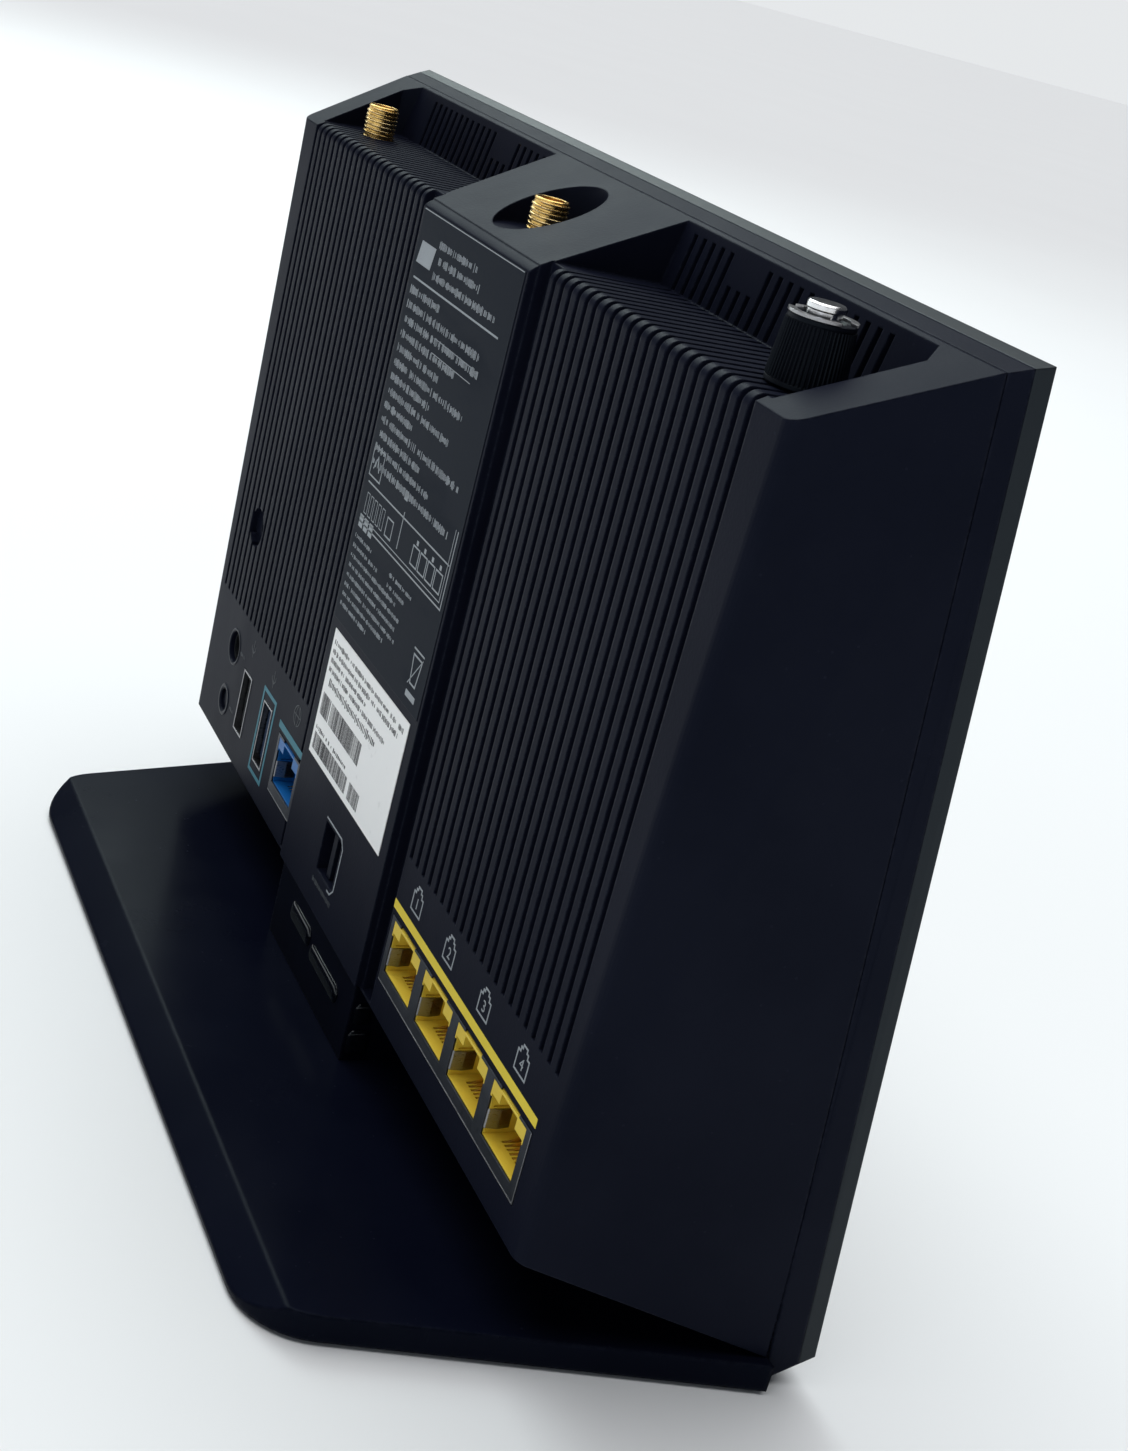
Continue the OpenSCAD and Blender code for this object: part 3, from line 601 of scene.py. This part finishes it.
mark([(left, top - 11.5), (right + 2.5, top - 11.5)], 0.32)
mark([(labelHigh[0] - 0.25, top - 0.2), (labelLow[0] + 0.25, top - 0.2)], 0.16)
addSlab(lines, [(21.3, top - 9.0), (14.6, top - 9.0), (13.6, top - 5.2), (20.3, top - 5.2)][::-1],
        inkLow, inkHigh)                                          # plain slanted block in the header
for z in (top - 18.2, top - 20.6):
    mark([(left - 15, z), (left - 33, z)], 0.12)
planTop, planLow = top - 47.6, top - 55.4
mark([(20.5, planTop - 0.4), (-20.8, planTop - 0.4)])
mark([(20.8, planLow), (-21.2, planLow), (-21.2, planTop + 5.5)])
mark([(20.8, planLow + 0.9), (-20.2, planLow + 0.9), (-20.2, planTop + 5.5)], 0.16)
for i in range(4):
    x = -5.2 - i * 3.7
    mark(rectangle(x, x - 3.0, planLow + 1.9, planLow + 5.1), closed=True)
    addSlab(lines, rectangle(x - 1.9, x - 1.1, planLow + 5.5, planLow + 6.3)[::-1], inkLow, inkHigh)
mark(rectangle(8.2, 5.2, planLow + 1.9, planLow + 5.1), closed=True)
mark([(1.6, planLow + 1.8), (1.6, planTop + 0.6)])
for i in range(5):
    mark(rectangle(19.6 - i * 2.1, 18.3 - i * 2.1, planLow + 1.9, planLow + 5.6), 0.14, closed=True)
mark(rectangle(21.0, 15.4, planTop + 0.8, planTop + 6.0), closed=True)
mark([(19.6, planTop + 2.2), (18.2, planTop + 4.6), (16.8, planTop + 2.2)], 0.3)
addSlab(lines, rectangle(3.2, 1.6, planTop + 2.4, planTop + 4.0)[::-1], inkLow, inkHigh)
mark([(-15.6, 79.6), (-16.4, 74.8), (-18.8, 74.8), (-19.6, 79.6)], 0.3, closed=True)   # plain tub mark
mark([(-15.2, 80.6), (-20.0, 80.6)], 0.3)
mark([(-15.4, 74.4), (-19.8, 80.0)], 0.2)
addSlab(lines, rectangle(-15.6, -19.9, 72.3, 73.4)[::-1], inkLow, inkHigh)
for i in range(3):                                                # approval marks as bare blocks
    addSlab(lines, rectangle(20.8 - i * 2.6, 18.9 - i * 2.6, 88.6, 90.9)[::-1], inkLow, inkHigh)
pieceFrom("label_lines", lines, "inkWhite")
print("label printed")

# sticker print: fine rows, bold rows and two barcodes
stickerHigh = boxInMm("barcode_sticker")[1]
stickerY = stickerHigh[1] + inkMiddle
sx, st = stickerHigh[0] - 1.3, stickerHigh[2]
fineRows = [(sx, sx - w, stickerY, st - 2.2 - i * 1.75, 1.05) for i, w in enumerate([37.5, 36, 20, 31])]
boldRows = [(sx - 1.5, sx - 27, stickerY, st - 9.6, 1.7), (sx, sx - 17, stickerY, st - 19.0, 0.9)]
bars = [(sx, sx - 22, stickerY, st - 14.2, 4.2), (sx, sx - 26, stickerY, st - 21.6, 3.2)]
blackRows = strokeTree("blackRows", "inkBlack")
place("sticker_rows", blackRows.grow("stickerRows", rowSeed(fineRows), Seed=11))
place("sticker_bold", blackRows.grow("stickerBold", rowSeed(boldRows), Pitch=0.72 * mm, Seed=19))
barChange = {"Pitch": 0.46 * mm, "Least height": 0.999, "Filled": 0.94, "Least width": 0.22,
             "Most width": 0.86, "Seed": 23}
place("sticker_bars", blackRows.grow("stickerBars", rowSeed(bars), **barChange))
print("sticker printed")

# marks printed on the housing round the sockets
lanLow, lanHigh = boxInMm("lan_shield")
wanLow, wanHigh = boxInMm("wan_shield")
usbLow, usbHigh = boxInMm("usb3_shell")
usbTwoLow, usbTwoHigh = boxInMm("usb2_shell")
inletLow, inletHigh = boxInMm("dc_jack")
spineY = boxInMm("label_film")[0][1]
backY = lanHigh[1] - 0.1
jackPitch, jackEdge = 15.12, 7.45       # between middles, and from the shield's end to the first
jackX = [lanHigh[0] - jackEdge - i * jackPitch for i in range(4)]
wanX = (wanLow[0] + wanHigh[0]) / 2
usbThreeX = (usbLow[0] + usbHigh[0]) / 2
usbTwoX = (usbTwoLow[0] + usbTwoHigh[0]) / 2
inletX = (inletLow[0] + inletHigh[0]) / 2
socketMarks = {"raise": 0.04, "sunk": 0.005, "iconUp": 18.9, "line": 0.3, "faintLine": 0.22,
               "thinLine": 0.18, "frameLine": 0.8, "figure": 2.7, "globe": 2.0, "globeSteps": 24,
               "lanStripe": (1.1, 2.7), "wanStripe": (0.9, 2.3)}      # heights above the shields


def bar(shape, x0, x1, z0, z1):
    addSlab(shape, rectangle(x0, x1, z0, z1), backY - socketMarks["sunk"], backY + socketMarks["raise"])


def trace(shape, points, width, closed=False):
    # printed line on the back plane
    addLine(shape, points, width, backY - socketMarks["sunk"], backY + socketMarks["raise"], closed)


stripe = bmesh.new()
near, far = socketMarks["lanStripe"]
bar(stripe, lanLow[0] - 0.4, lanHigh[0] + 0.8, lanHigh[2] + near, lanHigh[2] + far)
pieceFrom("yellow_stripe", stripe, "inkYellow")
teal = bmesh.new()
near, far = socketMarks["wanStripe"]
bar(teal, wanLow[0] + 0.3, wanHigh[0] + 1.2, wanHigh[2] + near, wanHigh[2] + far)
frameBox = rectangle(usbLow[0] - 1.15, usbHigh[0] + 1.15, usbLow[2] - 2.2, usbHigh[2] + 2.1)
trace(teal, frameBox, socketMarks["frameLine"], True)
pieceFrom("teal_marks", teal, "inkTeal")

icons = bmesh.new()
iconZ = lanLow[2] + socketMarks["iconUp"]
plug = [(-2, -2.2), (2, -2.2), (2, 1.0), (1.25, 1.0), (1.25, 1.7), (0.7, 1.7), (0.7, 2.3),
        (-0.7, 2.3), (-0.7, 1.7), (-1.25, 1.7), (-1.25, 1.0), (-2, 1.0)]
for x in jackX:
    trace(icons, [(x + u, iconZ + v) for u, v in plug], socketMarks["line"], True)
pieceFrom("socket_icons", icons, "inkWhite")


def numeral(text, x, z, size):
    # a plain figure standing on the back plane, read from behind
    curve = bpy.data.curves.new("figure" + text, "FONT")
    curve.body, curve.size, curve.extrude = text, size * mm, 0.02 * mm
    curve.align_x, curve.align_y = "CENTER", "CENTER"
    holder = bpy.data.objects.new("figure" + text, curve)
    bpy.context.scene.collection.objects.link(holder)
    bpy.context.view_layer.update()
    mesh = bpy.data.meshes.new_from_object(holder.evaluated_get(bpy.context.evaluated_depsgraph_get()))
    bpy.data.objects.remove(holder)
    turn = Matrix(((-1, 0, 0, x * mm), (0, 0, 1, (backY + 0.02) * mm), (0, 1, 0, z * mm), (0, 0, 0, 1)))
    mesh.transform(turn)
    mesh.materials.clear()
    mesh.materials.append(finishes["inkWhite"])
    return mesh


for i, x in enumerate(jackX):
    place(f"figure_{i + 1}", numeral(str(i + 1), x, iconZ - 0.6, socketMarks["figure"]))


def globeLine(halfWidth):
    turns = [2 * math.pi * k / socketMarks["globeSteps"] for k in range(socketMarks["globeSteps"])]
    return [(wanX - 0.2 + halfWidth * math.cos(t), iconZ + 0.3 + socketMarks["globe"] * math.sin(t))
            for t in turns]


faint = bmesh.new()
trace(faint, globeLine(socketMarks["globe"]), socketMarks["faintLine"], True)
trace(faint, globeLine(0.9), socketMarks["thinLine"], True)
trace(faint, [(wanX - 2.2, iconZ + 0.3), (wanX + 1.8, iconZ + 0.3)], socketMarks["thinLine"])
for x in (usbTwoX, usbThreeX):
    trace(faint, [(x, iconZ - 1.4), (x, iconZ + 2.2)], socketMarks["faintLine"])
    trace(faint, [(x - 1.1, iconZ + 1.2), (x - 1.1, iconZ + 0.4), (x, iconZ - 0.6), (x + 1.1, iconZ + 0.2),
                  (x + 1.1, iconZ + 0.9)], 0.2)
pieceFrom("faint_icons", faint, "inkFaint")
captionY = backY + inkMiddle
captions = [(inletX - 4.6, inletX - 7.6, captionY, 41.3, 0.9),
            (inletX - 4.6, inletX - 7.0, captionY, 28.8, 0.9)]
captionTree = strokeTree("captionRows", "inkFaint")
place("socket_captions", captionTree.grow("socketCaptions", rowSeed(captions), Seed=31))

# bracket and caption at the lamp switch on the spine
ledLow, ledHigh = boxInMm("led_button")
ledX, ledZ = (ledLow[0] + ledHigh[0]) / 2, (ledLow[2] + ledHigh[2]) / 2
bracket = bmesh.new()
path = [(4.6, 5.5), (-4.0, 5.5), (-5.4, 4.0), (-5.4, -4.2), (-4.0, -5.6), (-2.4, -5.6)]
addLine(bracket, [(ledX + u, ledZ + v) for u, v in path], 0.32, spineY - socketMarks["sunk"],
        spineY + socketMarks["raise"])
pieceFrom("lamp_bracket", bracket, "inkWhite")
lampRow = [(ledX + 5.0, ledX - 5.2, spineY + inkMiddle, ledZ - 7.2, 1.0)]
place("lamp_caption", captionTree.grow("lampCaption", rowSeed(lampRow), Seed=37, Filled=0.95))
print("housing marks printed")

# steel spring leaves and contact strips inside the sockets
socketMetal = {"wall": 5.85, "jackUp": 2.05, "leafDeep": 4.2, "leafLow": 0.9, "leafHigh": 4.3,
               "strips": 4, "stripWidth": 1.0, "stripThick": 0.12, "rim": 0.2, "rimIn": 0.12,
               "rimProud": 0.02}
leaves = bmesh.new()
jackLow = boxInMm("lan_insert")[0][2] + socketMetal["jackUp"]
for x in jackX + [wanX]:
    for way in (1, -1):
        wall = x + way * socketMetal["wall"]
        outline = [(wall + way * 0.12, backY - 0.05), (wall - way * 0.05, backY - 0.3),
                   (wall - way * 0.38, backY - 2.2), (wall - way * 0.05, backY - socketMetal["leafDeep"]),
                   (wall + way * 0.12, backY - socketMetal["leafDeep"])]
        addSlab(leaves, outline, jackLow + socketMetal["leafLow"], jackLow + socketMetal["leafHigh"], axis=2)
pieceFrom("spring_leaves", leaves, "leaf")
rims = bmesh.new()                                        # lighter metal strips along the shield plates' edges: a painted highlight
inset, rimLow = socketMetal["rimIn"], lanLow[2] + socketMetal["rimIn"]
lanRim = [(lanHigh[0] - 0.1, rimLow), (lanLow[0] + inset, rimLow), (lanLow[0] + inset, lanHigh[2] - 0.1)]
wanRim = [(wanHigh[0] - inset, wanLow[2] + inset), (wanLow[0] + inset, wanLow[2] + inset)]
for rim in (lanRim, wanRim):
    addLine(rims, rim, socketMetal["rim"], lanHigh[1] - socketMetal["rimProud"],
            lanHigh[1] + socketMetal["rimProud"])
pieceFrom("shield_edge_highlights", rims, "leaf")
strips = bmesh.new()
for name in ("usb2_tongue", "usb3_tongue"):
    low, high = boxInMm(name)
    step = (high[2] - low[2]) / socketMetal["strips"]
    reach = socketMetal["stripWidth"] / 2
    outer, inner = low[0] - socketMetal["stripThick"], low[0] + 0.02
    for i in range(socketMetal["strips"]):
        z = low[2] + step * (i + 0.5)
        outline = [(outer, low[1] + 1), (inner, low[1] + 1), (inner, high[1] - 0.8), (outer, high[1] - 0.8)]
        addSlab(strips, outline, z - reach, z + reach, axis=2)
pieceFrom("usb_strips", strips, "wire")
print("socket metal placed")


# antenna connectors: turned core, rolled thread and insulator
def threadTree():
    # one rolled thread: a lozenge section swept along a spiral
    tree = GrowTree("rolledThread", {"Turns": 8.0, "Radius": 2.92 * mm, "Height": 5.2 * mm,
                                     "Depth": 0.24 * mm})
    spiral = tree.add("GeometryNodeCurveSpiral", inputs={
        "Resolution": 40, "Rotations": tree.value("Turns"), "Start Radius": tree.value("Radius"),
        "End Radius": tree.value("Radius"), "Height": tree.value("Height")})
    section = tree.add("GeometryNodeCurvePrimitiveCircle",
                       inputs={"Resolution": 4, "Radius": tree.value("Depth")})
    sweep = tree.add("GeometryNodeCurveToMesh", inputs={"Curve": spiral, "Profile Curve": section,
                                                        "Fill Caps": True})
    return tree.ready(sweep, "gold")


threads = threadTree()
connector = {"core": 2.8, "bore": 2.3, "lip": 2.85, "pin": 0.5, "barrel": 7.1, "pitch": 0.78}
for name in ("connector_left", "connector_centre", "connector_right"):
    low, high = boxInMm(name)
    x, y = (low[0] + high[0]) / 2, (low[1] + high[1]) / 2
    seat, tip = low[2], high[2]
    base = seat + connector["barrel"]
    rise = tip - base - 0.7
    core = bmesh.new()
    addLathe(core, [(0, seat), (3.0, seat), (4.2, seat + 0.2), (4.2, seat + 1.3), (3.0, seat + 1.4),
                    (2.98, base - 0.1), (connector["core"], base), (connector["core"], tip - 0.45),
                    (connector["lip"], tip - 0.35), (connector["lip"], tip - 0.15), (2.7, tip),
                    (2.4, tip), (connector["bore"], tip - 0.15), (connector["bore"], tip - 4.2),
                    (0, tip - 4.2)], (x, y))
    addLathe(core, [(0, tip - 4.3), (connector["pin"], tip - 4.3), (connector["pin"], tip - 1.3),
                    (0.25, tip - 1.0), (0, tip - 1.0)], (x, y), 16)
    turned = pieceFrom(name + "_core", core, "gold")
    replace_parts(turned, name)
    mesh = threads.grow(name + "Thread", emptySeed(), Height=rise * mm, Turns=rise / connector["pitch"])
    mesh.transform(Matrix.Translation(Vector((x, y, base + 0.15)) * mm))
    place(name + "_thread", mesh)
    collet = bmesh.new()
    addLathe(collet, [(0.6, tip - 4.1), (2.25, tip - 4.1), (2.25, tip - 2.6), (2.0, tip - 2.4),
                      (0.6, tip - 2.4)], (x, y), 32)
    pieceFrom(name + "_insulator", collet, "pale")
print("connectors turned")


# knurled collar on the right-hand connector
def knurlTree():
    # lozenge ridges stood round a circle, then drawn in towards the top
    tree = GrowTree("knurlRidges", {"Ridges": 54, "Low radius": 5.1 * mm, "High radius": 4.5 * mm,
                                    "Height": 7.6 * mm, "Ridge": 0.17 * mm})
    ring = tree.add("GeometryNodeMeshCircle", inputs={"Vertices": tree.value("Ridges"),
                                                      "Radius": tree.value("Low radius")})
    spot = tree.add("GeometryNodeInputPosition")
    aim = tree.add("FunctionNodeAlignRotationToVector", {"axis": "X"}, {"Vector": spot})
    ridge = tree.add("GeometryNodeMeshCylinder", inputs={"Vertices": 4, "Radius": tree.value("Ridge"),
                                                         "Depth": tree.value("Height")})
    stood = tree.add("GeometryNodeInstanceOnPoints", inputs={"Points": ring, "Instance": ridge,
                                                             "Rotation": aim})
    solid = tree.add("GeometryNodeRealizeInstances", inputs={"Geometry": stood})
    x = tree.add("ShaderNodeSeparateXYZ", inputs={"Vector": spot})
    rise = x.other(2) / tree.value("Height") + 0.5
    draw = 1 - rise * (1 - tree.value("High radius") / tree.value("Low radius"))
    moved = tree.add("ShaderNodeCombineXYZ", inputs={0: x * draw, 1: x.other(1) * draw, 2: x.other(2)})
    shaped = tree.add("GeometryNodeSetPosition", inputs={"Geometry": solid, "Position": moved})
    return tree.ready(shaped, "grip")


collarLow, collarHigh = boxInMm("antenna_collar")
cx, cy = (collarLow[0] + collarHigh[0]) / 2, (collarLow[1] + collarHigh[1]) / 2
stubLow, stubHigh = boxInMm("collar_stub")
lo, hi = collarLow[2], collarHigh[2]
knurl = {"plainEnds": 1.7, "lift": 0.05}
sleeve = bmesh.new()
addLathe(sleeve, [(3.3, lo), (4.95, lo), (5.2, lo + 0.25), (5.16, lo + 0.75), (5.0, lo + 0.85),
                  (4.42, hi - 0.75), (4.52, hi - 0.6), (4.5, hi - 0.12), (4.36, hi), (3.2, hi),
                  (2.95, hi - 0.3), (2.7, hi - 0.5), (2.7, stubLow[2] + 0.3), (3.3, stubLow[2] + 0.3)],
         (cx, cy), 72)
grip = pieceFrom("collar_sleeve", sleeve, "grip", body="collar")
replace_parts(grip, "antenna_collar")
ridges = knurlTree().grow("collarRidges", emptySeed(), Height=(hi - lo - knurl["plainEnds"]) * mm)
ridges.transform(Matrix.Translation(Vector((cx, cy, (hi + lo) / 2 + knurl["lift"])) * mm))
place("collar_ridges", ridges, body="collar")
print("collar knurled")

# stub standing in the collar
stub = bmesh.new()
sl, sh = stubLow[2], stubHigh[2]
addLathe(stub, [(0, sl), (2.3, sl), (2.3, sh - 1.1), (2.36, sh - 1.0), (2.55, sh - 0.95), (2.55, sh - 0.3),
                (2.35, sh - 0.06), (1.9, sh), (0, sh)], (cx, cy), 64)
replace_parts(pieceFrom("stub_turned", stub, "chrome"), "collar_stub")

# glossy trim on the neck below the spine: two bars behind, two down the side
neckLow, neckHigh = boxInMm("stand_neck")
trimSizes = {"proud": 0.55, "sideProud": -0.6, "sunk": 0.02}


def addPillow(shape, low, high, axis, base, proud, corner):
    # soft-edged bar lying on a plane across the axis, swelling away from it
    rings = []
    for share in range(6):
        a = math.radians(share * 18)
        inset, level = corner * (1 - math.cos(a)) * 0.9, base + proud * math.sin(a)
        u0, u1, w0, w1 = low[0] + inset, high[0] - inset, low[1] + inset, high[1] - inset
        r = max(0.15, corner - inset)
        loop = []
        corners = [(u1 - r, w1 - r), (u0 + r, w1 - r), (u0 + r, w0 + r), (u1 - r, w0 + r)]
        for quarter, (cu, cw) in enumerate(corners):
            for k in range(5):
                t = math.radians(quarter * 90 + k * 22.5)
                loop.append((cu + r * math.cos(t), cw + r * math.sin(t)))
        ring = []
        for u, w in loop:
            spot = (u, level, w) if axis == 1 else (level, u, w)
            ring.append(shape.verts.new(Vector(spot) * mm))
        rings.append(ring)
    for a, b in zip(rings, rings[1:]):
        for i in range(len(a)):
            j = (i + 1) % len(a)
            shape.faces.new((a[i], a[j], b[j], b[i]))
    shape.faces.new(rings[-1])
    shape.faces.new(rings[0][::-1])


trim = bmesh.new()
rear, side = neckHigh[1] - trimSizes["sunk"], neckLow[0] + trimSizes["sunk"]
neckBack = neckHigh[1]
addPillow(trim, (1.6, 13.2), (13.4, 17.2), 1, rear, trimSizes["proud"], 1.5)
addPillow(trim, (-15.6, 12.0), (0.6, 15.6), 1, rear, trimSizes["proud"], 1.5)
addPillow(trim, (neckBack - 4.6, 6.4), (neckBack - 0.5, 11.6), 0, side, trimSizes["sideProud"], 1.2)
addPillow(trim, (neckBack - 4.0, 12.6), (neckBack - 0.8, 17.0), 0, side, trimSizes["sideProud"], 1.0)
pieceFrom("neck_trim", trim, "lump", smooth=True)

# moulded rings round the round openings
rings = bmesh.new()
powerLow, powerHigh = boxInMm("power_button")
px, pz = (powerLow[0] + powerHigh[0]) / 2, (powerLow[2] + powerHigh[2]) / 2
addLathe(rings, [(2.45, backY - 0.3), (3.35, backY - 0.3), (3.4, backY + 0.02), (3.2, backY + 0.16),
                 (2.7, backY + 0.16), (2.45, backY)], (px, pz), 48, axis="y")
iz = (inletLow[2] + inletHigh[2]) / 2
addLathe(rings, [(3.3, backY - 0.3), (3.9, backY - 0.3), (3.95, backY + 0.02), (3.8, backY + 0.12),
                 (3.5, backY + 0.12), (3.3, backY)], (inletX, iz), 48, axis="y")
pieceFrom("opening_rings", rings, "button", smooth=True)
print("neck and rings placed")

# floor, light and camera
studio = {"floorSize": 40.0, "floorTone": (0.78, 0.795, 0.81), "keyPower": 11.0, "sunPower": 3.0,
          "fillPower": 2.6, "air": 0.06}
floorMesh = bpy.data.meshes.new("floor")
half = studio["floorSize"]
floorCorners = [(-half, -half, 0), (half, -half, 0), (half, half, 0), (-half, half, 0)]
floorMesh.from_pydata(floorCorners, [], [(0, 1, 2, 3)])
floor = bpy.data.objects.new("floor", floorMesh)
bpy.context.scene.collection.objects.link(floor)
floorFinish = Finish("paleFloor", gloss=0.1, roughness=0.8)
floorFinish.feed(colour=floorFinish.blendColour(floorFinish.noise(3, 2), studio["floorTone"],
                                                tuple(c * 0.97 for c in studio["floorTone"])))
floorMesh.materials.append(floorFinish.material)


def softbox(name, spot, aim, size, power, tint):
    light = bpy.data.lights.new(name, "AREA")
    light.shape, light.size, light.size_y = "RECTANGLE", size[0], size[1]
    light.energy, light.color = power, tint
    lamp = bpy.data.objects.new(name, light)
    lamp.location = spot
    lamp.rotation_euler = (Vector(aim) - Vector(spot)).to_track_quat("-Z", "Y").to_euler()
    bpy.context.scene.collection.objects.link(lamp)


softbox("keyLight", (1.25, 0.10, 1.05), (0, 0, 0.09), (1.1, 0.8), studio["keyPower"], (0.88, 1.0, 0.98))
sunData = bpy.data.lights.new("ceilingLight", "SUN")     # a wide even ceiling, so the floor stays one tone
sunData.energy, sunData.angle = studio["sunPower"], math.radians(80)
ceiling = bpy.data.objects.new("ceilingLight", sunData)
ceiling.rotation_euler = (0, math.radians(12), 0)
bpy.context.scene.collection.objects.link(ceiling)
softbox("fillLight", (-0.9, 1.3, 0.7), (0, 0, 0.05), (0.9, 0.9), studio["fillPower"], (0.85, 0.92, 1.0))

world = bpy.data.worlds.new("studioAir")
bpy.context.scene.world = world
world.use_nodes = True
air = Sheet(world.node_tree)
seen = air.add("ShaderNodeLightPath", output="Is Camera Ray")
dim = air.add("ShaderNodeBackground", inputs={"Color": (0.86, 0.92, 1.0, 1), "Strength": studio["air"]})
pale = air.add("ShaderNodeBackground", inputs={"Color": (0.79, 0.81, 0.825, 1), "Strength": 1.0})
mixed = air.add("ShaderNodeMixShader", inputs={0: seen, 1: dim, 2: pale})
world.node_tree.links.new(mixed.socket, world.node_tree.nodes["World Output"].inputs["Surface"])

view = {"spot": (-0.29402, 0.13538, 0.19069), "right": (-0.3904, -0.88716, 0.24602),
        "down": (-0.41881, -0.06684, -0.90561), "ahead": (0.81987, -0.45659, -0.34546),
        "lens": 49.19, "shift": (-0.0020, -0.0173)}
cameraData = bpy.data.cameras.new("viewCamera")
cameraData.sensor_fit, cameraData.sensor_height, cameraData.sensor_width = "VERTICAL", 36, 36
cameraData.lens = view["lens"]
cameraData.shift_x, cameraData.shift_y = view["shift"]
cameraData.clip_start, cameraData.clip_end = 0.01, 50
camera = bpy.data.objects.new("viewCamera", cameraData)
across, up, back = Vector(view["right"]), -Vector(view["down"]), -Vector(view["ahead"])
stand = view["spot"]
camera.matrix_world = Matrix(((across.x, up.x, back.x, stand[0]), (across.y, up.y, back.y, stand[1]),
                              (across.z, up.z, back.z, stand[2]), (0, 0, 0, 1)))
bpy.context.scene.collection.objects.link(camera)
bpy.context.scene.camera = camera
bpy.context.scene.view_settings.view_transform = "Standard"
print("studio set")
